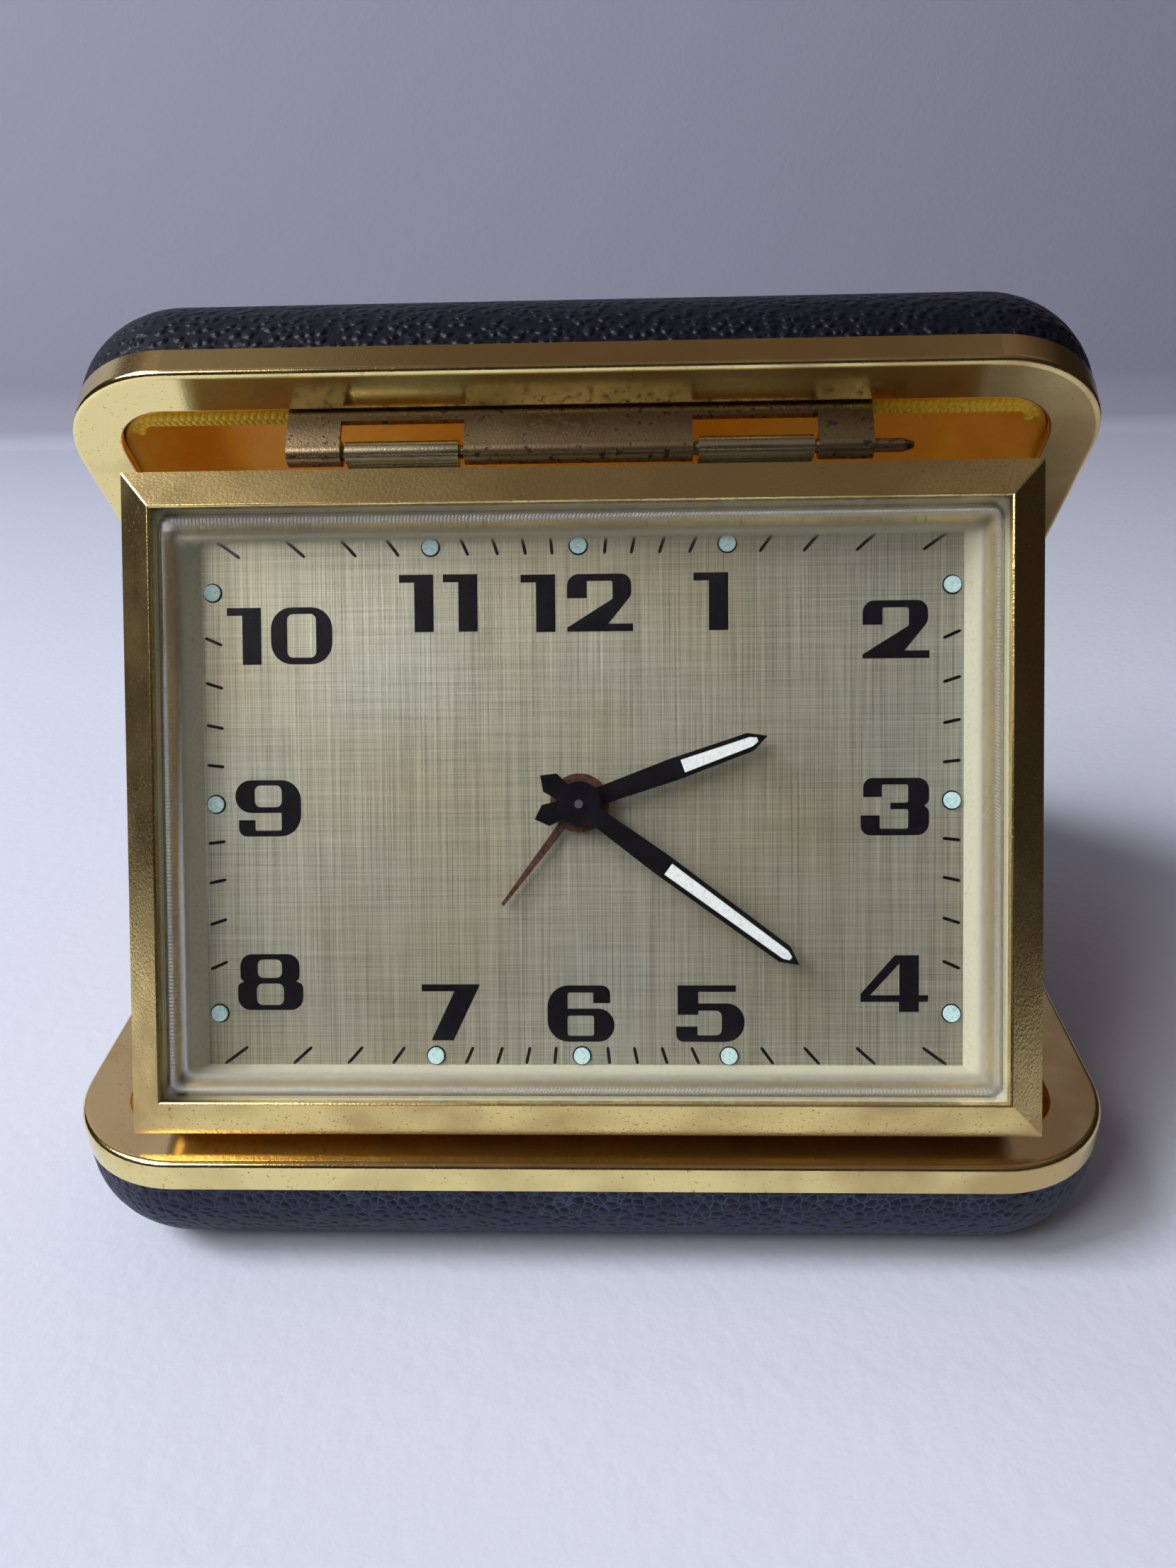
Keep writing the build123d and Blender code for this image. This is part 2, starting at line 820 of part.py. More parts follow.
# Places of the arbors on the movement, from the hands' axis

centre = (0, 0)
barrel_at = toward(centre, train_pitch_start, barrel_direction)
third_at = toward(centre, centre_third_distance, third_direction)
fourth_at = toward(third_at, third_fourth_distance, fourth_direction)
escape_at = toward(fourth_at, fourth_escape_distance, escape_direction)
minute_wheel_at = toward(centre, motion_distance, motion_direction)
alarm_set_at = toward(centre, alarm_set_distance, alarm_set_direction)
alarm_barrel_at = (alarm_barrel_x, alarm_barrel_y)
ringing_at = toward(alarm_barrel_at, ringing_distance, strike_direction)
pallet_at = (pallet_x, pallet_y)
balance_at = (balance_x, balance_y)
hammer_at = (hammer_x, hammer_y)
stop_at = (stop_x, stop_y)

front_tube = arbor_radius + running_clearance
minute_tube = front_tube + tube_wall
hour_bore = minute_tube + running_clearance
hour_tube = hour_bore + tube_wall
alarm_bore = hour_tube + running_clearance
alarm_tube = alarm_bore + tube_wall

# Dial and its four feet

foot_x = front_plate_width / 2 - dial_foot_inset
foot_y = front_plate_height / 2 - dial_foot_inset
foot_places = [(side_x * foot_x, side_y * foot_y) for side_x in (-1, 1) for side_y in (-1, 1)]
with BuildPart() as dial:
    rounded_slab(
        dial_face - dial_thickness,
        dial_face,
        2 * (case_half_width - case_wall - dial_clearance),
        2 * (case_half_height - case_wall - dial_clearance),
        case_corner_radius - case_wall,
    )
    for place in foot_places:
        disc(place, front_plate_top, dial_face - dial_thickness, dial_foot_radius)
    disc(
        centre,
        dial_face - dial_thickness,
        dial_face,
        alarm_tube + slot_clearance,
        mode=Mode.SUBTRACT,
    )
export(dial.part, "dial")


track_half_width = case_half_width - track_side_inset
track_half_height = case_half_height - track_end_inset


def track_point(angle):
    """Where a ray at an angle clockwise from twelve meets the minute track."""
    across = sin(radians(angle))
    along = cos(radians(angle))
    reach = 1 / max(abs(across) / track_half_width, abs(along) / track_half_height)
    return (reach * across, reach * along)


with BuildPart() as lume_dots:
    for hour in range(12):
        disc(track_point(hour * 30), dial_face, dial_face + dot_height, dot_radius)
export(lume_dots.part, "lume_dots")

# Hands


def hand_points(length, angle, width, neck, tail):
    """A hand: a narrow neck, a wider blade, a pointed tip and a pointed tail."""
    heading = clock_angle(angle)
    corners = (
        (-tail, 0),
        (-tail * tail_shoulder_share, width / 2),
        (-hand_hub_radius * hub_rear_share, neck / 2),
        (hand_hub_radius * hub_front_share, neck / 2),
        (lume_start * blade_start_share, width / 2),
        (length - width * tip_length_share, width * tip_width_share),
        (length, 0),
    )
    upper = [turned(along, across, heading) for along, across in corners]
    lower = [turned(along, -across, heading) for along, across in corners[1:-1]]
    return upper + lower[::-1]


def turned(along, across, heading):
    """A point given along and across a heading in degrees."""
    angle = radians(heading)
    return (
        along * cos(angle) - across * sin(angle),
        along * sin(angle) + across * cos(angle),
    )


def lume_points(length, angle, width, margin):
    """The luminous inlay of a hand, which narrows a little to its tip."""
    heading = clock_angle(angle)
    end = length - margin
    corners = (
        (lume_start, width / 2),
        (end - width / 2, width * lume_shoulder_share),
        (end, width * lume_tip_share),
        (end, -width * lume_tip_share),
        (end - width / 2, -width * lume_shoulder_share),
        (lume_start, -width / 2),
    )
    return [turned(along, across, heading) for along, across in corners]


def hand(length, angle, level, bore):
    """A sheet hand with a round hub, a slot for its inlay and a bore for its tube."""
    with BuildPart() as piece:
        outline(
            hand_points(length, angle, hand_width, hand_neck_width, hand_tail),
            level,
            level + hand_thickness,
        )
        disc(centre, level, level + hand_thickness, hand_hub_radius)
        disc(centre, level, level + hand_thickness, bore + press_gap, mode=Mode.SUBTRACT)
        outline(
            lume_points(length, angle, lume_width + 2 * press_gap, lume_margin - press_gap),
            level,
            level + hand_thickness,
            mode=Mode.SUBTRACT,
        )
    return piece.part


def inlay(length, angle, level):
    """The luminous inlay that fills a hand's slot."""
    with BuildPart() as piece:
        outline(
            lume_points(length, angle, lume_width, lume_margin),
            level,
            level + hand_thickness,
        )
    return piece.part


export(hand(minute_hand_length, minute_angle, minute_hand_level, hand_stub_radius), "minute_hand")
export(inlay(minute_hand_length, minute_angle, minute_hand_level), "minute_hand_lume")
export(hand(hour_hand_length, hour_angle, hour_hand_level, hour_tube), "hour_hand")
export(inlay(hour_hand_length, hour_angle, hour_hand_level), "hour_hand_lume")

alarm_heading = clock_angle(alarm_angle)
with BuildPart() as alarm_hand:
    outline(
        [
            turned(0, alarm_hand_width / 2, alarm_heading),
            turned(0, -alarm_hand_width / 2, alarm_heading),
            turned(alarm_hand_length, -alarm_hand_tip_width / 2, alarm_heading),
            turned(alarm_hand_length, alarm_hand_tip_width / 2, alarm_heading),
        ],
        alarm_hand_level,
        alarm_hand_level + hand_thickness,
    )
    disc(centre, alarm_hand_level, alarm_hand_level + hand_thickness, alarm_disc_radius)
    disc(
        centre,
        alarm_hand_level,
        alarm_hand_level + hand_thickness,
        alarm_tube + press_gap,
        mode=Mode.SUBTRACT,
    )
export(alarm_hand.part, "alarm_hand")

# Motion work between the front plate and the dial

minute_wheel_radius, cannon_radius = meshed_radii(motion_distance, minute_wheel_teeth, cannon_teeth)
hour_wheel_radius, minute_pinion_radius = meshed_radii(
    motion_distance, hour_wheel_teeth, minute_pinion_teeth
)
alarm_wheel_radius, alarm_pinion_radius = meshed_radii(
    alarm_set_distance, alarm_wheel_teeth, alarm_pinion_teeth
)
with BuildPart() as cannon_pinion:
    toothed(
        centre,
        motion_level,
        motion_level + motion_thickness,
        cannon_teeth,
        cannon_radius,
        motion_direction,
    )
    disc(centre, motion_level, minute_hand_level, minute_tube)
    disc(centre, motion_level, minute_hand_level - tube_wall, front_tube, mode=Mode.SUBTRACT)
    disc(centre, minute_hand_level, hand_stub_level, hand_stub_radius)
export(cannon_pinion.part, "cannon_pinion")

with BuildPart() as hour_wheel:
    toothed(
        centre,
        hour_wheel_level,
        hour_wheel_level + wheel_thickness,
        hour_wheel_teeth,
        hour_wheel_radius,
        motion_direction,
    )
    disc(centre, hour_wheel_level, hour_hand_level + hand_thickness, hour_tube)
    disc(centre, hour_wheel_level, hour_hand_level + hand_thickness, hour_bore, mode=Mode.SUBTRACT)
export(hour_wheel.part, "hour_wheel")

with BuildPart() as alarm_wheel:
    toothed(
        centre,
        alarm_wheel_level,
        alarm_wheel_level + thin_wheel,
        alarm_wheel_teeth,
        alarm_wheel_radius,
        alarm_set_direction,
    )
    disc(centre, alarm_wheel_level, alarm_hand_level + hand_thickness, alarm_tube)
    disc(centre, alarm_wheel_level, alarm_hand_level + hand_thickness, alarm_bore, mode=Mode.SUBTRACT)
export(alarm_wheel.part, "alarm_wheel")

knob_seat = cover_level - back_clearance
knob_end = knob_seat - knob_height


def gap_direction(heading, teeth):
    """Direction of a tooth when a gap between teeth lies in the given heading."""
    return heading + 180 / teeth


with BuildPart() as minute_wheel:
    facing = direction_between(minute_wheel_at, centre)
    toothed(
        minute_wheel_at,
        motion_level,
        motion_level + motion_thickness,
        minute_wheel_teeth,
        minute_wheel_radius,
        gap_direction(facing, minute_wheel_teeth),
    )
    toothed(
        minute_wheel_at,
        motion_level,
        hour_wheel_level + wheel_thickness,
        minute_pinion_teeth,
        minute_pinion_radius,
        gap_direction(facing, minute_pinion_teeth),
    )
    disc(minute_wheel_at, knob_seat - knob_bore_depth, motion_level, arbor_radius)
export(minute_wheel.part, "minute_wheel")

with BuildPart() as alarm_setting_pinion:
    facing = direction_between(alarm_set_at, centre)
    toothed(
        alarm_set_at,
        alarm_wheel_level,
        alarm_wheel_level + thin_wheel,
        alarm_pinion_teeth,
        alarm_pinion_radius,
        gap_direction(facing, alarm_pinion_teeth),
    )
    disc(alarm_set_at, knob_seat - knob_bore_depth, alarm_wheel_level, arbor_radius)
export(alarm_setting_pinion.part, "alarm_setting_pinion")


def setting_knob(at):
    """A small ridged knob pressed on the rear end of a setting arbor."""
    points = []
    for index in range(knob_ridges):
        heading = 360 * index / knob_ridges
        points.append(toward(at, knob_radius, heading))
        points.append(toward(at, knob_radius - knob_ridge_depth, heading + 180 / knob_ridges))
    with BuildPart() as knob:
        outline(points, knob_end, knob_seat)
        disc(at, knob_seat - knob_bore_depth, knob_seat, arbor_radius + press_gap, mode=Mode.SUBTRACT)
    return knob.part


export(setting_knob(minute_wheel_at), "hand_setting_knob")
export(setting_knob(alarm_set_at), "alarm_setting_knob")

# Going train between the plates

barrel_radius, centre_pinion_radius = meshed_radii(
    train_pitch_start, barrel_teeth, centre_pinion_teeth
)
centre_wheel_radius, third_pinion_radius = meshed_radii(
    centre_third_distance, centre_wheel_teeth, third_pinion_teeth
)
third_wheel_radius, fourth_pinion_radius = meshed_radii(
    third_fourth_distance, third_wheel_teeth, fourth_pinion_teeth
)
fourth_wheel_radius, escape_pinion_radius = meshed_radii(
    fourth_escape_distance, fourth_wheel_teeth, escape_pinion_teeth
)
alarm_barrel_radius, ringing_pinion_radius = meshed_radii(
    ringing_distance, alarm_barrel_teeth, ringing_pinion_teeth
)


def barrel(at, teeth, pitch_radius, mate_at):
    """A mainspring barrel: a drum with a toothed rim, closed at both ends."""
    drum_radius = pitch_radius - 2 * pitch_radius / teeth * dedendum_share
    with BuildPart() as drum:
        toothed(
            at,
            barrel_tooth_level,
            barrel_tooth_level + barrel_tooth_height,
            teeth,
            pitch_radius,
            direction_between(at, mate_at),
        )
        disc(at, barrel_level, barrel_level + barrel_height, drum_radius)
        disc(
            at,
            barrel_level + barrel_wall,
            barrel_level + barrel_height - barrel_wall,
            drum_radius - barrel_wall,
            mode=Mode.SUBTRACT,
        )
        disc(
            at,
            barrel_level,
            barrel_level + barrel_height,
            hub_radius + running_clearance,
            mode=Mode.SUBTRACT,
        )
    return drum.part


def spiral_strip(at, bottom, width, inner, outer, turns, strip):
    """A flat coiled spring: a strip that follows a spiral."""
    steps = ceil(turns * spring_points_per_turn)
    outside = []
    inside = []
    for index in range(steps + 1):
        share = index / steps
        reach = inner + (outer - inner) * share
        heading = 360 * turns * share
        outside.append(toward(at, reach + strip / 2, heading))
        inside.append(toward(at, reach - strip / 2, heading))
    with BuildPart() as spring:
        outline(outside + inside[::-1], bottom, bottom + width)
    return spring.part


def winding_arbor(at):
    """The arbor of a mainspring: pivots, a hub inside the barrel and a key stem."""
    with BuildPart() as arbor:
        disc(at, knob_seat - knob_bore_depth, front_plate_level + plate_thickness / 2, arbor_radius)
        disc(
            at,
            back_plate_top + running_clearance,
            barrel_level + barrel_height + barrel_wall,
            hub_radius,
        )
    return arbor.part


def winding_key(at, heading):
    """A key with two flat wings, pressed on the rear end of a winding arbor."""
    key_end = knob_seat - key_height + back_clearance
    with BuildPart() as key:
        disc(at, key_end, knob_seat, key_hub_radius)
        with BuildSketch(clock_plane.offset(key_end)):
            with Locations(at):
                SlotOverall(key_wing_length, key_wing_width, rotation=heading)
        extrude(amount=key_wing_height)
        disc(at, knob_seat - knob_bore_depth, knob_seat, arbor_radius + press_gap, mode=Mode.SUBTRACT)
    return key.part


spring_bottom = barrel_level + (barrel_height - spring_width) / 2
spring_inner = hub_radius + spring_strip + running_clearance
export(barrel(barrel_at, barrel_teeth, barrel_radius, centre), "time_barrel")
export(
    spiral_strip(
        barrel_at,
        spring_bottom,
        spring_width,
        spring_inner,
        barrel_radius * spring_reach_share,
        spring_turns,
        spring_strip,
    ),
    "time_mainspring",
)
export(winding_arbor(barrel_at), "time_winding_arbor")
export(winding_key(barrel_at, 90 - barrel_direction), "time_key")
export(barrel(alarm_barrel_at, alarm_barrel_teeth, alarm_barrel_radius, ringing_at), "alarm_barrel")
export(
    spiral_strip(
        alarm_barrel_at,
        spring_bottom,
        spring_width,
        spring_inner,
        alarm_barrel_radius * spring_reach_share,
        spring_turns,
        spring_strip,
    ),
    "alarm_mainspring",
)
export(winding_arbor(alarm_barrel_at), "alarm_winding_arbor")
export(winding_key(alarm_barrel_at, strike_direction), "alarm_key")


def pivots(at):
    """The two pivots and the arbor of a wheel between the plates."""
    disc(at, back_plate_top - plate_thickness / 2, front_plate_level + plate_thickness / 2, pivot_radius)
    disc(
        at,
        back_plate_top + running_clearance,
        front_plate_level - running_clearance,
        arbor_radius,
    )


with BuildPart() as centre_wheel:
    toothed(
        centre,
        barrel_tooth_level - pinion_overlap,
        barrel_tooth_level + barrel_tooth_height + pinion_overlap,
        centre_pinion_teeth,
        centre_pinion_radius,
        gap_direction(direction_between(centre, barrel_at), centre_pinion_teeth),
    )
    toothed(
        centre,
        centre_wheel_level,
        centre_wheel_level + wheel_thickness,
        centre_wheel_teeth,
        centre_wheel_radius,
        third_direction,
    )
    disc(
        centre,
        back_plate_top - plate_thickness / 2,
        minute_hand_level - tube_wall - plate_clearance,
        arbor_radius,
    )
export(centre_wheel.part, "centre_wheel")

with BuildPart() as third_wheel:
    toothed(
        third_at,
        centre_wheel_level - pinion_overlap,
        centre_wheel_level + wheel_thickness + pinion_overlap,
        third_pinion_teeth,
        third_pinion_radius,
        gap_direction(direction_between(third_at, centre), third_pinion_teeth),
    )
    toothed(
        third_at,
        third_wheel_level,
        third_wheel_level + thin_wheel,
        third_wheel_teeth,
        third_wheel_radius,
        fourth_direction,
    )
    pivots(third_at)
export(third_wheel.part, "third_wheel")

with BuildPart() as fourth_wheel:
    toothed(
        fourth_at,
        third_wheel_level - pinion_overlap,
        third_wheel_level + thin_wheel + pinion_overlap,
        fourth_pinion_teeth,
        fourth_pinion_radius,
        gap_direction(direction_between(fourth_at, third_at), fourth_pinion_teeth),
    )
    toothed(
        fourth_at,
        fourth_wheel_level,
        fourth_wheel_level + thin_wheel,
        fourth_wheel_teeth,
        fourth_wheel_radius,
        escape_direction,
    )
    pivots(fourth_at)
export(fourth_wheel.part, "fourth_wheel")


def ratchet(at, bottom, top, teeth, tip, root, heading):
    """A wheel with pointed teeth that lean one way."""
    points = []
    for index in range(teeth):
        middle = heading + 360 * index / teeth
        points.append(toward(at, tip, middle))
        points.append(toward(at, root, middle + 180 / teeth))
    outline(points, bottom, top)


with BuildPart() as escape_wheel:
    ratchet(
        escape_at,
        escape_wheel_level,
        escape_wheel_level + thin_wheel,
        escape_teeth,
        escape_radius,
        escape_root_radius,
        0,
    )
    toothed(
        escape_at,
        fourth_wheel_level - pinion_overlap,
        fourth_wheel_level + thin_wheel + pinion_overlap,
        escape_pinion_teeth,
        escape_pinion_radius,
        gap_direction(direction_between(escape_at, fourth_at), escape_pinion_teeth),
    )
    pivots(escape_at)
export(escape_wheel.part, "escape_wheel")

# Pallet lever: two pins that stand clear of the wheel, and a fork toward the balance

pallet_heading = direction_between(pallet_at, escape_at)
fork_heading = direction_between(pallet_at, balance_at)
pallet_pin_places = [
    toward(toward(pallet_at, pallet_reach, pallet_heading), side * pallet_span / 2, pallet_heading + 90)
    for side in (-1, 1)
]
pallet_level = escape_wheel_level - pallet_thickness - running_clearance
with BuildPart() as pallet_lever:
    slab(
        toward(pallet_at, fork_length / 2, fork_heading),
        pallet_level,
        pallet_level + pallet_thickness,
        fork_length,
        fork_width,
        fork_heading,
    )
    slab(
        toward(pallet_at, pallet_reach / 2, pallet_heading),
        pallet_level,
        pallet_level + pallet_thickness,
        pallet_reach,
        fork_width,
        pallet_heading,
    )
    slab(
        toward(pallet_at, pallet_reach, pallet_heading),
        pallet_level,
        pallet_level + pallet_thickness,
        fork_width,
        pallet_span + fork_width,
        pallet_heading,
    )
    slab(
        toward(pallet_at, fork_length, fork_heading),
        pallet_level,
        pallet_level + pallet_thickness,
        fork_notch,
        fork_notch,
        fork_heading,
        mode=Mode.SUBTRACT,
    )
    for place in pallet_pin_places:
        disc(place, pallet_level, escape_wheel_level + thin_wheel, pallet_pin_radius)
    pivots(pallet_at)
export(pallet_lever.part, "pallet_lever")

# Balance wheel with its staff and roller, its hairspring and its two jewels

with BuildPart() as balance_wheel:
    disc(balance_at, balance_level, balance_level + balance_thickness, balance_radius)
    disc(
        balance_at,
        balance_level,
        balance_level + balance_thickness,
        balance_radius - balance_rim,
        mode=Mode.SUBTRACT,
    )
    slab(
        balance_at,
        balance_level,
        balance_level + balance_thickness,
        2 * balance_radius - balance_rim,
        balance_rim,
        fork_heading + 90,
    )
    disc(balance_at, balance_level, balance_level + balance_thickness, roller_radius)
    disc(balance_at, pallet_level + pallet_thickness + running_clearance, balance_level, roller_radius)
    disc(
        toward(balance_at, -roller_pin_reach, fork_heading),
        pallet_level,
        balance_level,
        roller_pin_radius,
    )
    disc(
        balance_at,
        back_plate_top + running_clearance,
        front_plate_level - running_clearance,
        arbor_radius,
    )
    disc(
        balance_at,
        back_plate_top - plate_thickness / 2,
        front_plate_level + plate_thickness / 2,
        jewel_hole_radius - running_clearance,
    )
export(balance_wheel.part, "balance_wheel")
export(
    spiral_strip(
        balance_at,
        hairspring_level,
        hairspring_width,
        hairspring_inner_radius,
        hairspring_radius,
        spring_turns,
        hairspring_strip,
    ),
    "hairspring",
)

with BuildPart() as balance_jewels:
    for bottom in (front_plate_level, back_plate_top - jewel_thickness):
        disc(balance_at, bottom, bottom + jewel_thickness, jewel_radius)
        disc(balance_at, bottom, bottom + jewel_thickness, jewel_hole_radius, mode=Mode.SUBTRACT)
export(balance_jewels.part, "balance_jewels")

# Ringing wheel and hammer of the alarm

with BuildPart() as ringing_wheel:
    ratchet(
        ringing_at,
        ringing_wheel_level,
        ringing_wheel_level + wheel_thickness,
        ringing_teeth,
        ringing_radius,
        ringing_root_radius,
        0,
    )
    toothed(
        ringing_at,
        barrel_tooth_level - pinion_overlap,
        barrel_tooth_level + barrel_tooth_height + pinion_overlap,
        ringing_pinion_teeth,
        ringing_pinion_radius,
        gap_direction(direction_between(ringing_at, alarm_barrel_at), ringing_pinion_teeth),
    )
    pivots(ringing_at)
export(ringing_wheel.part, "ringing_wheel")

verge_heading = direction_between(hammer_at, ringing_at)
pillar_x = back_plate_width / 2 - pillar_inset
pillar_y = back_plate_height / 2 - pillar_inset
hammer_drop = pillar_y + hammer_y - pillar_radius - hammer_head_radius - hammer_pillar_clearance
hammer_arm = hammer_drop / sin(radians(verge_heading))
with BuildPart() as alarm_hammer:
    slab(
        toward(hammer_at, -hammer_arm / 2, verge_heading),
        hammer_level,
        hammer_level + hammer_thickness,
        hammer_arm,
        fork_width,
        verge_heading,
    )
    slab(
        toward(hammer_at, hammer_verge / 2, verge_heading),
        hammer_level,
        hammer_level + hammer_thickness,
        hammer_verge,
        fork_width,
        verge_heading,
    )
    slab(
        toward(hammer_at, hammer_verge - fork_width / 2, verge_heading),
        hammer_level,
        hammer_level + hammer_thickness,
        fork_width,
        hammer_verge_span,
        verge_heading,
    )
    disc(
        toward(hammer_at, -hammer_arm, verge_heading),
        hammer_level - hammer_head_drop,
        hammer_level + hammer_head_rise,
        hammer_head_radius,
    )
    pivots(hammer_at)
export(alarm_hammer.part, "alarm_hammer")

# Plates, pillars and their nuts

train_places = [third_at, fourth_at, escape_at, pallet_at, ringing_at, hammer_at]
through_places = [minute_wheel_at, alarm_set_at]
pillar_places = [
    (side_x * pillar_x, side_y * pillar_y) for side_x in (-1, 1) for side_y in (-1, 1)
]
winding_places = [barrel_at, alarm_barrel_at]


def plate_holes(bottom, top):
    """Pivot holes of the train, and wider holes for what passes through."""
    for place in train_places:
        disc(place, bottom, top, pivot_radius + running_clearance, mode=Mode.SUBTRACT)
    for place in through_places + winding_places + [centre]:
        disc(place, bottom, top, arbor_radius + running_clearance, mode=Mode.SUBTRACT)


with BuildPart() as front_plate:
    rounded_slab(
        front_plate_level,
        front_plate_top,
        front_plate_width,
        front_plate_height,
        plate_corner_radius - case_wall,
    )
    plate_holes(front_plate_level, front_plate_top)
    disc(
        balance_at,
        front_plate_level,
        front_plate_level + jewel_thickness,
        jewel_radius + press_gap,
        mode=Mode.SUBTRACT,
    )
    for place in post_centres:
        disc(
            place,
            front_plate_level,
            front_plate_top,
            cover_screw_radius + running_clearance,
            mode=Mode.SUBTRACT,
        )
export(front_plate.part, "front_plate")

with BuildPart() as back_plate:
    rounded_slab(
        back_plate_level,
        back_plate_top,
        back_plate_width,
        back_plate_height,
        plate_corner_radius,
    )
    plate_holes(back_plate_level, back_plate_top)
    disc(stop_at, back_plate_level, back_plate_top, arbor_radius + running_clearance, mode=Mode.SUBTRACT)
    disc(balance_at, stop_lever_level, back_plate_level, regulator_boss_radius)
    disc(
        balance_at,
        back_plate_top - jewel_thickness,
        back_plate_top,
        jewel_radius + press_gap,
        mode=Mode.SUBTRACT,
    )
    for place in pillar_places:
        disc(
            place,
            back_plate_level,
            back_plate_top,
            pillar_radius / 2 + running_clearance,
            mode=Mode.SUBTRACT,
        )
export(back_plate.part, "back_plate")

with BuildPart() as pillars:
    for place in pillar_places:
        disc(place, back_plate_top, front_plate_level, pillar_radius)
        disc(place, back_plate_level - nut_height, back_plate_top, pillar_radius / 2)
export(pillars.part, "pillars")

with BuildPart() as plate_nuts:
    for place in pillar_places:
        with BuildSketch(clock_plane.offset(back_plate_level - nut_height)):
            with Locations(place):
                RegularPolygon(nut_radius, 6)
                Circle(pillar_radius / 2 + press_gap, mode=Mode.SUBTRACT)
        extrude(amount=nut_height)
export(plate_nuts.part, "plate_nuts")


def screws(head_face, shank_end):
    """One slotted cheese-head screw in each corner post."""
    outward = 1 if head_face > shank_end else -1
    head_top = head_face + outward * screw_head_height
    slot_floor = head_top - outward * screw_slot_depth
    with BuildPart() as group:
        for place in post_centres:
            disc(place, min(head_face, head_top), max(head_face, head_top), cover_screw_head_radius)
            disc(place, min(head_face, shank_end), max(head_face, shank_end), cover_screw_radius)
            slab(
                place,
                min(slot_floor, head_top),
                max(slot_floor, head_top),
                2 * cover_screw_head_radius,
                screw_slot_width,
                direction_between(centre, place),
                mode=Mode.SUBTRACT,
            )
    return group.part


export(screws(front_plate_top, front_plate_top - screw_length + plate_thickness), "movement_screws")
export(screws(cover_level, cover_level + screw_length), "back_cover_screws")

# Levers on the back of the movement

with BuildPart() as alarm_stop_lever:
    disc(stop_at, stop_lever_level, back_plate_top, arbor_radius)
    disc(stop_at, stop_lever_level, stop_lever_level + lever_thickness, lever_width)
    slab(
        toward(stop_at, stop_reach / 2, stop_angle),
        stop_lever_level,
        stop_lever_level + lever_thickness,
        stop_reach,
        lever_width,
        stop_angle,
    )
    disc(
        toward(stop_at, stop_reach, stop_angle),
        cover_level - back_clearance - stop_tab_height,
        stop_lever_level + lever_thickness,
        lever_width / 2,
    )
    disc(
        toward(stop_at, stop_reach, stop_angle),
        cover_level - back_clearance - stop_tab_height,
        cover_level - back_clearance,
        stop_tab_radius,
    )
export(alarm_stop_lever.part, "alarm_stop_lever")

with BuildPart() as regulator_lever:
    disc(balance_at, stop_lever_level, stop_lever_level + lever_thickness, regulator_ring_radius)
    slab(
        toward(balance_at, regulator_reach / 2, regulator_angle),
        stop_lever_level,
        stop_lever_level + lever_thickness,
        regulator_reach,
        regulator_tab_width,
        regulator_angle,
    )
    disc(
        toward(balance_at, regulator_reach, regulator_angle),
        cover_level - regulator_tab_height,
        stop_lever_level + lever_thickness,
        regulator_tab_width / 2,
    )
    disc(
        balance_at,
        stop_lever_level,
        stop_lever_level + lever_thickness,
        regulator_boss_radius + running_clearance,
        mode=Mode.SUBTRACT,
    )
export(regulator_lever.part, "regulator_lever")

# Back cover, with a hole or an arc slot for each piece that reaches through it


def arc_slot(at, reach, heading_start, heading_end, half_width):
    """A slot along an arc about an arbor, cut through the back cover."""
    middle = (heading_start + heading_end) / 2
    with BuildSketch(clock_plane.offset(cover_level)) as slot:
        with BuildLine(mode=Mode.PRIVATE):
            path = ThreePointArc(
                toward(at, reach, heading_start),
                toward(at, reach, middle),
                toward(at, reach, heading_end),
            )
        SlotArc(path, 2 * half_width)
    extrude(slot.sketch, amount=cover_thickness, mode=Mode.SUBTRACT)


with BuildPart() as back_cover:
    rounded_slab(
        cover_level,
        -case_depth,
        2 * case_half_width,
        2 * case_half_height,
        case_corner_radius,
    )
    fillet(clock_axis_groups(back_cover)[0], cover_edge_radius)
    for place in winding_places + through_places:
        disc(place, cover_level, -case_depth, arbor_radius + slot_clearance, mode=Mode.SUBTRACT)
    for place in post_centres:
        disc(place, cover_level, -case_depth, cover_screw_radius + running_clearance, mode=Mode.SUBTRACT)
    arc_slot(
        stop_at,
        stop_reach,
        stop_angle,
        stop_angle + stop_swing,
        lever_width / 2 + slot_clearance,
    )
    arc_slot(
        balance_at,
        regulator_reach,
        regulator_angle - regulator_swing,
        regulator_angle + regulator_swing,
        regulator_tab_width / 2 + slot_clearance,
    )
export(back_cover.part, "back_cover")

# Knuckles that hang the clock on its pin: barrel, strap and a foot on the case

pin_height = lip_height / 2 + pin_above_lip
strap_level = -pin_behind_lip - clock_knuckle_radius
with BuildPart() as hinge_knuckles:
    for start in (knuckle_start, -knuckle_start - knuckle_length):
        with BuildSketch(clock_section.offset(start)):
            with Locations((pin_height, -pin_behind_lip)):
                Circle(clock_knuckle_radius)
            with Locations(((pin_height + case_half_height) / 2, strap_level + clock_leaf_thickness / 2)):
                Rectangle(pin_height - case_half_height, clock_leaf_thickness)
            with Locations(
                (
                    case_half_height + clock_leaf_thickness / 2,
                    strap_level + clock_leaf_thickness - clock_knuckle_foot / 2,
                )
            ):
                Rectangle(clock_leaf_thickness, clock_knuckle_foot)
            with Locations((pin_height, -pin_behind_lip)):
                Circle(clock_pin_radius + pin_clearance, mode=Mode.SUBTRACT)
        extrude(amount=knuckle_length)
export(hinge_knuckles.part, "hinge_knuckles")
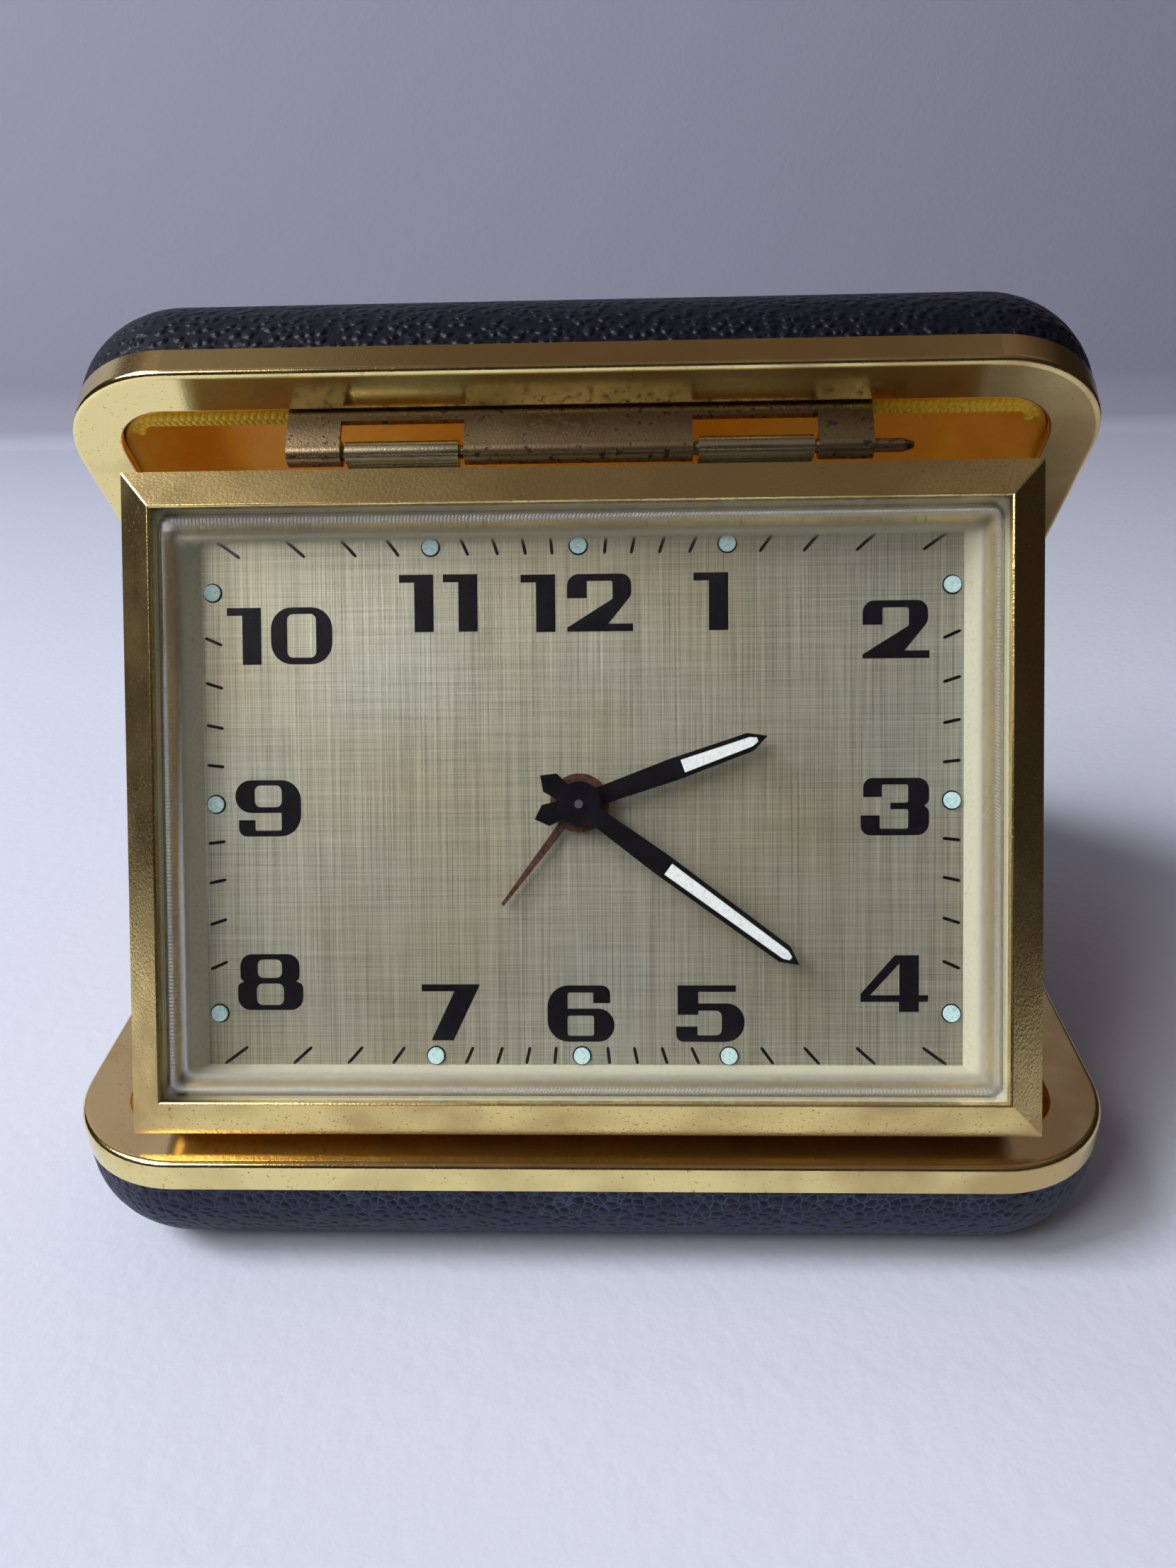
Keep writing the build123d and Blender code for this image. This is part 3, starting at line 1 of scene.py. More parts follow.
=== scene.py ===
# %% [markdown]
# # A folding travel alarm clock
# The CAD model is loaded as a fixed frame: 60 solids that already have the right shape and place.
# This script gives each of them its real finish, and adds what is too fine or too soft for CAD:
# the cloth linings, the braided cord, the printed dial and the milled edge of the crystal.

# %% Load the frame
from math import cos, pi, radians, sin, tan

import bmesh
import bpy
from mathutils import Matrix, Vector, noise


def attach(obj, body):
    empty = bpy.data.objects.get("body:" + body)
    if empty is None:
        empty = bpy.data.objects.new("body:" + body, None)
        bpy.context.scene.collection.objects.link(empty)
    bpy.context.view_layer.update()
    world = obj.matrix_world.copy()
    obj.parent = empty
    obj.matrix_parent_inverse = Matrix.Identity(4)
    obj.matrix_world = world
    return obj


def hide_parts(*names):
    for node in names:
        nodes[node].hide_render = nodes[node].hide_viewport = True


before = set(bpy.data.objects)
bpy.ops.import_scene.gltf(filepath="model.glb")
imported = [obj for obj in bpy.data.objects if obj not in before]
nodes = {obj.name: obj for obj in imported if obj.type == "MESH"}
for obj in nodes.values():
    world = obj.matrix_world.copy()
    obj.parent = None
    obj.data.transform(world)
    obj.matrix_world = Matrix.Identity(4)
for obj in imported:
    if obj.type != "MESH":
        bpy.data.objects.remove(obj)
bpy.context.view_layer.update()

# %% [markdown]
# ## Lengths
# Blender works in metres here, and the clock is small, so every size below is written in
# millimetres and turned to metres by one factor. The sizes repeat those of the CAD source.

# %% Sizes and the four planes of the clock
mm = 0.001
shell_depth = 76.0
shell_height = 13.0
lid_angle = radians(51.7)
dial_lean = radians(25.0)
pin_reach, pin_drop = 69.65, 3.2  # along the lid from the rear axis, and out of it
pin_over_lip, pin_behind_face = 2.14, 3.6
lip_width, lip_height = 77.0, 56.25

lid_front = Vector((0, -cos(lid_angle), sin(lid_angle)))
lid_out = Vector((0, -sin(lid_angle), -cos(lid_angle)))
rear_axis = Vector((0, shell_depth / 2, shell_height))
clock_pin = rear_axis + lid_front * pin_reach + lid_out * pin_drop
lid_middle = rear_axis + lid_front * (shell_depth / 2)
base_middle = Vector((0, 0, shell_height))
dial_up = Vector((0, sin(dial_lean), cos(dial_lean)))
dial_out = Vector((0, -cos(dial_lean), sin(dial_lean)))
hands_axis = clock_pin - dial_up * (lip_height / 2 + pin_over_lip) + dial_out * pin_behind_face
print("Hands' axis, mm:", [round(x, 2) for x in hands_axis])


def frame_matrix(right, up, out, origin):
    """A matrix from a flat drawing in millimetres to the clock, in metres."""
    turn = Matrix((right, up, out)).transposed().to_4x4()
    return Matrix.Scale(mm, 4) @ Matrix.Translation(origin) @ turn


sideways = Vector((1, 0, 0))
dial_frame = frame_matrix(sideways, dial_up, dial_out, hands_axis)
lid_plane = frame_matrix(sideways, lid_front, lid_out, lid_middle)
base_plane = frame_matrix(sideways, Vector((0, 1, 0)), Vector((0, 0, 1)), base_middle)
dial_turn = (dial_lean - pi / 2, 0, 0)

# %% [markdown]
# ## Camera
# The photographer held the lens a little above the clock and close to it, so the near edges
# look large. The camera stands at that spot, with that lens, and is turned by three angles:
# down, a little to the left, and a slight tilt.

# %% Camera
image_height = 2212
focal_pixels = 1694.08
camera_place = Vector((4.3, -112.8, 86.8))
pitch, yaw, roll = radians(26.9), radians(-2.27), radians(-1.39)
forward = Vector((sin(yaw) * cos(pitch), cos(yaw) * cos(pitch), -sin(pitch)))
level_right = forward.cross(Vector((0, 0, 1))).normalized()
level_up = level_right.cross(forward)
right = level_right * cos(roll) + level_up * sin(roll)
up = level_up * cos(roll) - level_right * sin(roll)
camera = bpy.data.objects.new("camera", bpy.data.cameras.new("camera"))
camera.matrix_world = (
    Matrix.Translation(camera_place * mm)
    @ Matrix((right, up, -forward)).transposed().to_4x4()
)
camera.data.sensor_width = 36
camera.data.lens = focal_pixels / image_height * camera.data.sensor_width
camera.data.clip_start = 0.005
camera.data.clip_end = 20
bpy.context.scene.collection.objects.link(camera)
bpy.context.scene.camera = camera
bpy.context.scene.view_settings.view_transform = "Standard"
print("Lens, mm:", round(camera.data.lens, 2))

# %% [markdown]
# ## Helpers for nodes and colours
# Materials and Geometry Nodes are both trees of nodes. Writing one tree by hand takes the same
# three steps each time: make the node, set its fields, and fill or link its inputs. Steps that
# come back often, such as mixing two colours, have a short function of their own.

# %% Node and colour helpers
def add_node(tree, kind, inputs=None, **settings):
    """Adds one node. An input is given a number or another node's output."""
    made = tree.nodes.new(kind)
    for name, value in settings.items():
        setattr(made, name, value)
    for name, value in (inputs or {}).items():
        if isinstance(value, bpy.types.NodeSocket):
            tree.links.new(value, made.inputs[name])
        else:
            made.inputs[name].default_value = value
    return made


def linear(hex_colour):
    """A colour as web pages write it, turned to the linear light that shaders use."""
    channels = [int(hex_colour[i : i + 2], 16) / 255 for i in (1, 3, 5)]
    return [c / 12.92 if c <= 0.04045 else ((c + 0.055) / 1.055) ** 2.4 for c in channels] + [1.0]


def mixed(tree, share, first, second):
    """A colour between two. Each is a text such as #ffffff, or another node's output."""
    ends = [linear(end) if isinstance(end, str) else end for end in (first, second)]
    inputs = {0: share, 6: ends[0], 7: ends[1]}
    return add_node(tree, "ShaderNodeMix", inputs, data_type="RGBA").outputs[2]


def remapped(tree, value, low=0.0, high=1.0, start=0.0, end=1.0, **settings):
    """A number whose span from low to high is stretched from start to end."""
    inputs = {"Value": value, "From Min": low, "From Max": high, "To Min": start, "To Max": end}
    return add_node(tree, "ShaderNodeMapRange", inputs, **settings).outputs[0]


def clouds(tree, place, scale, detail, **more):
    """Noise from 0 to 1. Its scale is the number of clouds in one unit of the place."""
    inputs = {"Vector": place, "Scale": scale, "Detail": detail, **more}
    return add_node(tree, "ShaderNodeTexNoise", inputs).outputs["Fac"]


def bumped(tree, height, strength, depth, under=None):
    """Relief from a number, its depth in millimetres. It may lie on top of another relief."""
    inputs = {"Height": height, "Strength": strength, "Distance": depth * mm}
    if under is not None:
        inputs["Normal"] = under
    return add_node(tree, "ShaderNodeBump", inputs).outputs[0]


def maths(tree, operation, *values):
    """One sum, product or other step between numbers or sockets."""
    return add_node(tree, "ShaderNodeMath", dict(enumerate(values)), operation=operation).outputs[0]


def vector_maths(tree, operation, first, second=(0, 0, 0)):
    """The same between places. To scale one, the second value is a number."""
    inputs = {0: first, "Scale" if operation == "SCALE" else 1: second}
    return add_node(tree, "ShaderNodeVectorMath", inputs, operation=operation).outputs[0]


def parts_of(tree, place):
    """The X, Y and Z of a place."""
    return add_node(tree, "ShaderNodeSeparateXYZ", {0: place}).outputs


def place_of(tree, **parts):
    """A place from its X, Y and Z."""
    return add_node(tree, "ShaderNodeCombineXYZ", parts).outputs[0]


def new_material(name):
    """An empty material and its tree."""
    made = bpy.data.materials.new(name)
    made.use_nodes = True
    made.node_tree.nodes.clear()
    return made, made.node_tree


def end_material(tree, inputs):
    """The shader and the output at the end of a material's tree."""
    shader = add_node(tree, "ShaderNodeBsdfPrincipled", inputs)
    add_node(tree, "ShaderNodeOutputMaterial", {"Surface": shader.outputs[0]})


def millimetres(tree, turn=(0, 0, 0), centre=(0, 0, 0)):
    """The place on the piece in millimetres, so that a pattern's scale is a real size."""
    place = add_node(tree, "ShaderNodeTexCoord").outputs["Object"]
    moved = vector_maths(tree, "SUBTRACT", vector_maths(tree, "SCALE", place, 1 / mm), centre)
    inputs = {"Vector": moved, "Rotation": turn}
    return add_node(tree, "ShaderNodeMapping", inputs, vector_type="POINT").outputs["Vector"]


def set_material(material, *names):
    """Gives CAD nodes a finish."""
    for name in names:
        mesh = nodes[name].data
        mesh.materials.clear()
        mesh.materials.append(material)


def add_object(name, data):
    """An object of the scene that holds some data, such as a mesh or a lamp."""
    made = bpy.data.objects.new(name, data)
    bpy.context.scene.collection.objects.link(made)
    return made


def smooth(mesh):
    """Shades a mesh as one soft surface."""
    for polygon in mesh.polygons:
        polygon.use_smooth = True


print("Orange in linear light:", [round(c, 3) for c in linear("#f09a1a")])

# %% [markdown]
# ## Floor, backdrop and light
# The clock stands on a pale sheet with a grey-blue room behind it. One curved sheet does both,
# as a photographer's backdrop does. It is stage, and not part of the clock. The main light is a
# window high on the left, which throws a soft shadow to the right. A weaker lamp in front fills
# the shadows, and a small one on the left behind the clock lights its corners. Metal looks like
# what it mirrors, so the world is a dim room with uneven walls. The camera sees a plain wall
# in its place.

# %% Floor and backdrop
def backdrop_sheet():
    """A floor that runs back, curves up and becomes the wall. Its sizes are in metres."""
    left, right, front, bend, radius, wall = -0.8, 0.31, -0.9, 0.352, 0.02, 0.9
    profile = [(front, 0.0), (bend - radius, 0.0)]
    profile += [
        (bend - radius + radius * sin(a), radius - radius * cos(a))
        for a in [radians(6 * i) for i in range(1, 16)]
    ]
    profile += [(bend, wall)]
    points, faces = [], []
    for y, z in profile:
        points += [(left, y, z), (right, y, z)]
    for i in range(len(profile) - 1):
        faces.append((2 * i, 2 * i + 1, 2 * i + 3, 2 * i + 2))
    mesh = bpy.data.meshes.new("backdrop")
    mesh.from_pydata(points, [], faces)
    smooth(mesh)
    return add_object("backdrop", mesh)


backdrop = backdrop_sheet()

# Matt paper: it takes soft shadows, and mirrors nothing
paper, tree = new_material("matt_paper_sheet")
place = millimetres(tree)
along = parts_of(tree, place)
# Painted shade: the floor darkens from 100 to 340 mm back, towards the bend.
floor_with_painted_shade = mixed(tree, remapped(tree, along["Y"], 100, 340), "#d8dde6", "#bcc0cc")
paper_tone = mixed(tree, remapped(tree, along["Z"], 0.3, 5.0), floor_with_painted_shade, "#9b9ba8")
paper_bump = bumped(tree, clouds(tree, place, 0.6, 4.0), 0.25, 0.4)
end_material(tree, {"Base Color": paper_tone, "Roughness": 0.9, "Normal": paper_bump})
backdrop.data.materials.append(paper)
print("Backdrop faces:", len(backdrop.data.polygons))

# %% World and lamps
world = bpy.data.worlds.new("studio")
bpy.context.scene.world = world
world.use_nodes = True
tree = world.node_tree
tree.nodes.clear()
way_out = add_node(tree, "ShaderNodeTexCoord").outputs["Generated"]
patches = remapped(tree, clouds(tree, way_out, 1.6, 2.0), 0.4, 0.6)
walls = mixed(tree, patches, "#5c514b", "#9b979d")
lifted = remapped(tree, parts_of(tree, way_out)["Z"], 0.5, 0.85)
gloom = mixed(tree, lifted, "#2a2422", walls)
room = add_node(tree, "ShaderNodeBackground", {"Color": gloom, "Strength": 1.0})
far_wall = add_node(tree, "ShaderNodeBackground", {"Color": linear("#8b8b9c"), "Strength": 1.0})
seen = add_node(tree, "ShaderNodeLightPath").outputs["Is Camera Ray"]
both = add_node(tree, "ShaderNodeMixShader", {0: seen, 1: room.outputs[0], 2: far_wall.outputs[0]})
add_node(tree, "ShaderNodeOutputWorld", {"Surface": both.outputs[0]})


def lamp(name, place, aim, side, power, colour):
    """A soft square lamp at a place in metres, turned to face another."""
    light = bpy.data.lights.new(name, "AREA")
    light.shape = "RECTANGLE"
    light.size = light.size_y = side
    light.energy = power
    light.color = linear(colour)[:3]
    made = add_object(name, light)
    away = Vector(place) - Vector(aim)
    made.location = place
    made.rotation_mode = "QUATERNION"
    made.rotation_quaternion = away.to_track_quat("Z", "Y")


lamp("window_lamp", (-0.66, -0.22, 0.80), (0, 0, 0.03), 0.36, 9.0, "#f0f4ff")
lamp("front_lamp", (-0.48, -0.52, 0.66), (0, -0.02, 0.03), 0.3, 3.2, "#fbf8ff")
lamp("corner_window_lamp", (-0.57, 0.48, 0.52), (0, 0, 0.05), 0.2, 0.7, "#e6eeff")

# %% [markdown]
# ## Metals
# The frames are pressed from brass sheet, gilded and polished. Years of use left brown tarnish
# specks and a coppery film on what faces up. The gilt frames are also painted darker towards
# the right: painted shade, on the side away from the window lamp. Polished metal shows its
# surroundings, so its colour is the metal's own, and much of the pattern is in how rough the
# surface is. The bezel, the hinge leaf and the movement are metals too, so one function makes
# them all, with other colours and grain.
#
# The bezel's slopes mirror the room as though they were less steep than they are. Its material
# tilts their shading to the front, and the mesh keeps its shape.

# %% Worn metal
copper_film = "#d99a5e"
speck_edges = 0.96, 1.08  # noise where a speck starts and where it is full, less its share


def hollow_slopes(tree, depth):
    """Tilts the shading of the bezel's four slopes. The depth is in mm for each mm outward."""
    across = vector_maths(tree, "ABSOLUTE", millimetres(tree, dial_turn, hands_axis))
    beyond = vector_maths(tree, "SUBTRACT", across, (lip_width / 2, lip_height / 2, 0.0))
    sides = parts_of(tree, beyond)
    return bumped(tree, maths(tree, "MAXIMUM", sides["X"], sides["Y"]), 1.0, depth)


def worn_metal(
    name,
    base,
    dark,
    roughness,
    speck_size,
    speck_share,
    grain,
    grain_size=0.17,
    hollow=0.0,
    painted_shade_rightward=0.0,
    film=0.0,
):
    """Polished metal with tarnish and a fine grain, their sizes in millimetres.

    The rightward share is how much darker it gets with each mm to the right, which is painted
    shade, and film is the share of coppery film on what faces up.
    """
    made, tree = new_material(name)
    place = millimetres(tree)
    rightward = parts_of(tree, place)["X"]
    # Darker with each mm to the right: painted shade, on the side away from the window lamp
    clouds_and_painted_shade = maths(tree, "MULTIPLY_ADD", rightward, painted_shade_rightward, clouds(tree, place, 0.12, 3.0))
    specks = clouds(tree, place, 1 / speck_size, 4.0, Roughness=0.6)
    speckled = remapped(tree, specks, *[edge - speck_share for edge in speck_edges])
    tarnish_and_painted_shade = maths(tree, "MAXIMUM", speckled, remapped(tree, clouds_and_painted_shade, 0.4, 0.7, end=0.5))
    clean = mixed(tree, tarnish_and_painted_shade, base, dark)
    upward = parts_of(tree, add_node(tree, "ShaderNodeTexCoord").outputs["Normal"])["Z"]
    colour = mixed(tree, remapped(tree, upward, 0.3, end=film), clean, copper_film)
    rough = remapped(tree, tarnish_and_painted_shade, start=roughness, end=roughness + 0.25)
    slopes = hollow_slopes(tree, hollow) if hollow else None
    dents = bumped(tree, clouds(tree, place, 1 / grain_size, 3.0), grain, 0.3 * grain_size, slopes)
    end_material(
        tree, {"Base Color": colour, "Metallic": 1.0, "Roughness": rough, "Normal": dents}
    )
    return made


# Gilded and polished brass: a pale yellow mirror with few specks, and painted shade that darkens it
# towards the right
gilt_brass = worn_metal(
    "polished_gilt_brass", "#f8e49c", "#96623a", 0.12, 0.3, 0.34, 0.14, painted_shade_rightward=0.004, film=0.4
)
set_material(gilt_brass, "base_frame", "lid_frame")

# The same gilding, handled more: softer, browner and pitted
bezel_brass = worn_metal(
    "handled_bezel_brass", "#efd68e", "#8a5c38", 0.18, 0.3, 0.37, 0.2, 0.28, 0.42
)
set_material(bezel_brass, "bezel")

# Rolled hinge brass whose gilding has gone: grey-brown with fine scratches
hinge_brass = worn_metal("bare_rolled_brass", "#b39c74", "#4c3c2e", 0.25, 0.7, 0.44, 0.3)
set_material(hinge_brass, "clock_hinge_leaf", "clock_hinge_pin")
set_material(hinge_brass, "base_hinge_leaf", "lid_hinge_leaf")
knuckle_brass = worn_metal("rubbed_knuckle_brass", "#cbbf9e", "#84704e", 0.22, 0.3, 0.34, 0.3)
set_material(knuckle_brass, "hinge_knuckles")

# Deep-drawn nickel-plated steel of the case and its back cover: grey, satin
case_steel = worn_metal("nickel_plated_steel", "#b9b8b2", "#7d776c", 0.3, 0.5, 0.38, 0.4)
set_material(case_steel, "clock_case", "back_cover")

# Bare pressed steel of the trays under the linings
tray_steel = worn_metal("bare_pressed_steel", "#8d8c88", "#5f574e", 0.42, 0.6, 0.42, 0.6)
set_material(tray_steel, "base_tray", "lid_tray")

# Movement brass: milled plates, cast keys and cut wheels, lightly lacquered
plate_brass = worn_metal("milled_plate_brass", "#dcc078", "#94733c", 0.26, 0.4, 0.32, 0.3)
set_material(
    plate_brass,
    "front_plate",
    "back_plate",
    "pillars",
    "time_key",
    "alarm_key",
    "hand_setting_knob",
    "alarm_setting_knob",
    "balance_wheel",
)
wheel_brass = worn_metal("cut_wheel_brass", "#e4c67a", "#a07c3e", 0.2, 0.3, 0.3, 0.2)
set_material(
    wheel_brass,
    "hour_wheel",
    "minute_wheel",
    "alarm_wheel",
    "alarm_setting_pinion",
    "time_barrel",
    "centre_wheel",
    "third_wheel",
    "fourth_wheel",
    "escape_wheel",
    "alarm_barrel",
    "ringing_wheel",
)

# Turned and polished steel of arbors, screws and levers
arbor_steel = worn_metal("turned_arbor_steel", "#c4c4c6", "#86827c", 0.18, 0.4, 0.32, 0.2)
set_material(
    arbor_steel,
    "cannon_pinion",
    "rear_hinge_pin",
    "back_cover_screws",
    "plate_nuts",
    "movement_screws",
    "time_winding_arbor",
    "alarm_winding_arbor",
    "pallet_lever",
    "alarm_hammer",
    "alarm_stop_lever",
    "regulator_lever",
)

# Spring strip, blued by heat
blued_steel = worn_metal("heat_blued_spring_steel", "#3a4c8c", "#23243c", 0.22, 0.3, 0.35, 0.1)
set_material(blued_steel, "hairspring", "time_mainspring", "alarm_mainspring")
print("Metals:", len([m for m in bpy.data.materials if m.users]))

# %% [markdown]
# ## Leathercloth
# Both shells are covered with leathercloth: cotton with a thick lacquer, pressed between rollers
# into pebbles 0.9 mm wide. One Voronoi pattern raises the domes, and a second one finds the
# creases between them. On the base the creases are pale with dust and wear, and on the lid they
# stay nearly as dark as the rest. The base's copy is also painted lighter all over than the
# lid's: painted light, for the light that the base's front catches from the floor.

# %% Leathercloth
pebble_width = 0.9


def pebbled_cloth(name, pebble, crease, gloss):
    """Lacquered cloth with embossed pebbles: glossy domes, and duller dust in the creases."""
    made, tree = new_material(name)
    place = millimetres(tree)
    wander = add_node(tree, "ShaderNodeTexNoise", {"Vector": place, "Scale": 0.5, "Detail": 1.0})
    shift = vector_maths(tree, "SCALE", wander.outputs["Color"], 0.6)
    cells = {"Vector": vector_maths(tree, "ADD", place, shift), "Scale": 1 / pebble_width}
    edges = add_node(tree, "ShaderNodeTexVoronoi", cells, feature="DISTANCE_TO_EDGE")
    cells["Smoothness"] = 0.4
    middles = add_node(tree, "ShaderNodeTexVoronoi", cells, feature="SMOOTH_F1")
    domes = remapped(
        tree, middles.outputs["Distance"], 0.1, 0.65, 1.0, 0.0, interpolation_type="SMOOTHSTEP"
    )
    relief = maths(tree, "MULTIPLY_ADD", clouds(tree, place, 5.0, 4.0), 0.12, domes)
    scuffs = remapped(tree, clouds(tree, place, 0.25, 5.0, Roughness=0.65), 0.3, 0.7, start=0.25)
    dust = maths(
        tree, "MULTIPLY", remapped(tree, edges.outputs["Distance"], 0.1, 0.0), scuffs
    )
    end_material(
        tree,
        {
            "Base Color": mixed(tree, dust, pebble, crease),
            "Roughness": remapped(tree, dust, start=gloss, end=gloss + 0.25),
            "Specular IOR Level": 0.2,
            "Normal": bumped(tree, relief, 1.0, 0.18),
        },
    )
    return made


lid_cloth = pebbled_cloth("navy_lacquered_leathercloth", "#05070f", "#0c101a", 0.42)
set_material(lid_cloth, "lid_leather")
# A lighter copy of the same cloth: painted light on the base, and dust in its creases
base_cloth = pebbled_cloth("navy_leathercloth_painted_lighter", "#141a29", "#48526a", 0.45)
set_material(base_cloth, "base_leather")
print("Leathercloths:", lid_cloth.name, base_cloth.name)

# %% [markdown]
# ## Dial, printing colours, lume and hands
# The dial is a silvered brass plate with a linen finish: fine upright scratches from a wire
# brush, crossed by fainter level ones. Its lacquer has yellowed. The scratches follow the dial, so
# their pattern is turned to the dial's own directions and stretched along each scratch.

# %% Linen-finish dial
def brushed_lines(tree, place, across, along, turned_over):
    """Noise pulled out into lines: its width and length in millimetres."""
    pulled = (1 / along, 1 / across, 1.0) if turned_over else (1 / across, 1 / along, 1.0)
    return clouds(tree, vector_maths(tree, "MULTIPLY", place, pulled), 1.0, 3.0, Roughness=0.7)


dial_lacquer, tree = new_material("linen_brushed_silvered_brass")
place = millimetres(tree, dial_turn)
upright = brushed_lines(tree, place, 0.11, 16.0, False)
level = brushed_lines(tree, place, 0.12, 12.0, True)
lines = maths(tree, "MULTIPLY_ADD", level, 0.6, upright)
aged = remapped(tree, clouds(tree, place, 0.05, 2.0), 0.35, 0.65)
lacquer = mixed(tree, aged, "#afb19e", "#aaa285")
end_material(
    tree,
    {
        "Base Color": mixed(tree, remapped(tree, lines, 0.5, 1.05), "#676550", lacquer),
        "Metallic": 0.72,
        "Roughness": 0.46,
        "Normal": bumped(tree, lines, 0.5, 0.04),
    },
)
set_material(dial_lacquer, "dial")
print("Dial:", dial_lacquer.name)


# %% Lacquers, lume and jewels
def grained(name, light, dark, size, share, metallic, roughness, depth):
    """A lacquered or moulded finish: two close colours, in grains of a size in millimetres."""
    made, tree = new_material(name)
    grains = clouds(tree, millimetres(tree), 1 / size, 4.0)
    end_material(
        tree,
        {
            "Base Color": mixed(
                tree, remapped(tree, grains, 0.7 - share, 1.0 - share), light, dark
            ),
            "Metallic": metallic,
            "Roughness": roughness,
            "Normal": bumped(tree, grains, 0.3, depth),
        },
    )
    return made


# Stoved olive-cream lacquer on the pressed ring round the dial: smooth, with a soft shine
rehaut_lacquer = grained(
    "stoved_olive_cream_lacquer", "#9d9b83", "#8d896e", 0.3, 0.2, 0.0, 0.35, 0.005
)
set_material(rehaut_lacquer, "rehaut")

# Luminous paint: a chalky paste of crystals in varnish, greener in the dots than on the hands
dot_paint = grained(
    "grey_green_luminous_paint", "#a4c0bb", "#7b9a95", 0.25, 0.25, 0.0, 0.7, 0.03
)
set_material(dot_paint, "lume_dots")
hand_paint = grained("chalky_luminous_paint", "#c6cbc3", "#9fa69d", 0.25, 0.2, 0.0, 0.7, 0.03)
set_material(hand_paint, "minute_hand_lume", "hour_hand_lume")

# Hands: black stove enamel, and a brown-lacquered brass one for the alarm
black_enamel = grained("black_stove_enamel", "#08080b", "#121216", 1.5, 0.3, 0.0, 0.16, 0.003)
set_material(black_enamel, "minute_hand", "hour_hand")
brown_lacquer = grained("brown_lacquered_brass", "#6a4a3a", "#45302a", 0.4, 0.3, 0.7, 0.3, 0.01)
set_material(brown_lacquer, "alarm_hand")

# Synthetic ruby, ground and polished
ruby = grained("ground_synthetic_ruby", "#9a1230", "#6a0c20", 0.3, 0.3, 0.0, 0.08, 0.002)
set_material(ruby, "balance_jewels")

# Printing ink: black, thin and slightly shiny
ink = grained("black_printing_ink", "#08080c", "#141318", 0.5, 0.25, 0.0, 0.2, 0.003)
print("Materials so far:", len(bpy.data.materials))

# %% Clear acrylic
acrylic_index = 1.49
moulded_radius = 1.6


def clear_moulding(name, tint, roughness, clearness):
    """Injection-moulded acrylic: clear and glossy. Light passes it without a shadow."""
    made, tree = new_material(name)
    # A mould has rounded corners: the bevel node rounds the shading, and not the mesh
    softened = add_node(tree, "ShaderNodeBevel", {"Radius": moulded_radius * mm}, samples=6)
    glass = add_node(
        tree,
        "ShaderNodeBsdfPrincipled",
        {
            "Base Color": linear(tint),
            "Roughness": roughness,
            "IOR": acrylic_index,
            "Transmission Weight": clearness,
            "Normal": softened.outputs[0],
        },
    )
    through = add_node(tree, "ShaderNodeBsdfTransparent")
    shadow = add_node(tree, "ShaderNodeLightPath").outputs["Is Shadow Ray"]
    surface = {0: shadow, 1: glass.outputs[0], 2: through.outputs[0]}
    clear = add_node(tree, "ShaderNodeMixShader", surface)
    add_node(tree, "ShaderNodeOutputMaterial", {"Surface": clear.outputs[0]})
    return made


acrylic = clear_moulding("clear_acrylic_moulding", "#ffffff", 0.03, 1.0)
set_material(acrylic, "crystal")
milled_acrylic = clear_moulding("milled_acrylic_ridge", "#f4f3ee", 0.15, 0.8)
left_over = [
    name
    for name, node in nodes.items()
    if not node.data.materials or not node.data.materials[0].use_nodes
]
print("Left over:", sorted(left_over))

# %% [markdown]
# ## New pieces
# A new piece is drawn flat in millimetres, where its sizes are easy to read, and its mesh is then
# turned onto the lid, the base or the dial. Its object stays at the origin, as the CAD pieces do.

# %% Placing a mesh
def place_piece(name, mesh, matrix, body, material):
    """Turns a flat drawing onto the clock and makes it a piece of one body."""
    mesh.transform(matrix)
    mesh.materials.clear()
    mesh.materials.append(material)
    made = add_object(name, mesh)
    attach(made, body)
    return made


# %% [markdown]
# ## Geometry Nodes for what repeats
# The minute marks, the braid and the milled edge repeat one small shape many times. A Geometry
# Nodes tree holds the rule, and its named inputs hold the sizes. The result is then turned to a
# plain mesh, so that the finished piece doesn't depend on the tree.

# %% Running a geometry tree
def geometry_tree(name, sizes):
    """A tree with one geometry input, and a number input for each size."""
    tree = bpy.data.node_groups.new(name, "GeometryNodeTree")
    tree.interface.new_socket("Geometry", in_out="INPUT", socket_type="NodeSocketGeometry")
    tree.interface.new_socket("Geometry", in_out="OUTPUT", socket_type="NodeSocketGeometry")
    for size in sizes:
        tree.interface.new_socket(size, in_out="INPUT", socket_type="NodeSocketFloat")
    return tree, add_node(tree, "NodeGroupInput").outputs


def end_tree(tree, geometries, material):
    """Joins the branches, makes them real and gives them their material."""
    joined = add_node(tree, "GeometryNodeJoinGeometry")
    for geometry in geometries:
        tree.links.new(geometry, joined.inputs[0])
    real = add_node(tree, "GeometryNodeRealizeInstances", {"Geometry": joined.outputs[0]})
    inputs = {"Geometry": real.outputs[0], "Material": material}
    finished = add_node(tree, "GeometryNodeSetMaterial", inputs)
    add_node(tree, "NodeGroupOutput", {"Geometry": finished.outputs[0]})


def run_tree(source, tree, sizes):
    """Runs a tree on an object and returns what it makes as a plain mesh."""
    modifier = source.modifiers.new("shape", "NODES")
    modifier.node_group = tree
    for socket in tree.interface.items_tree:
        if socket.in_out == "INPUT" and socket.name in sizes:
            modifier[socket.identifier] = sizes[socket.name]
    evaluated = source.evaluated_get(bpy.context.evaluated_depsgraph_get())
    mesh = bpy.data.meshes.new_from_object(evaluated)
    bpy.data.objects.remove(source)
    print(tree.name, "faces:", len(mesh.polygons))
    return mesh


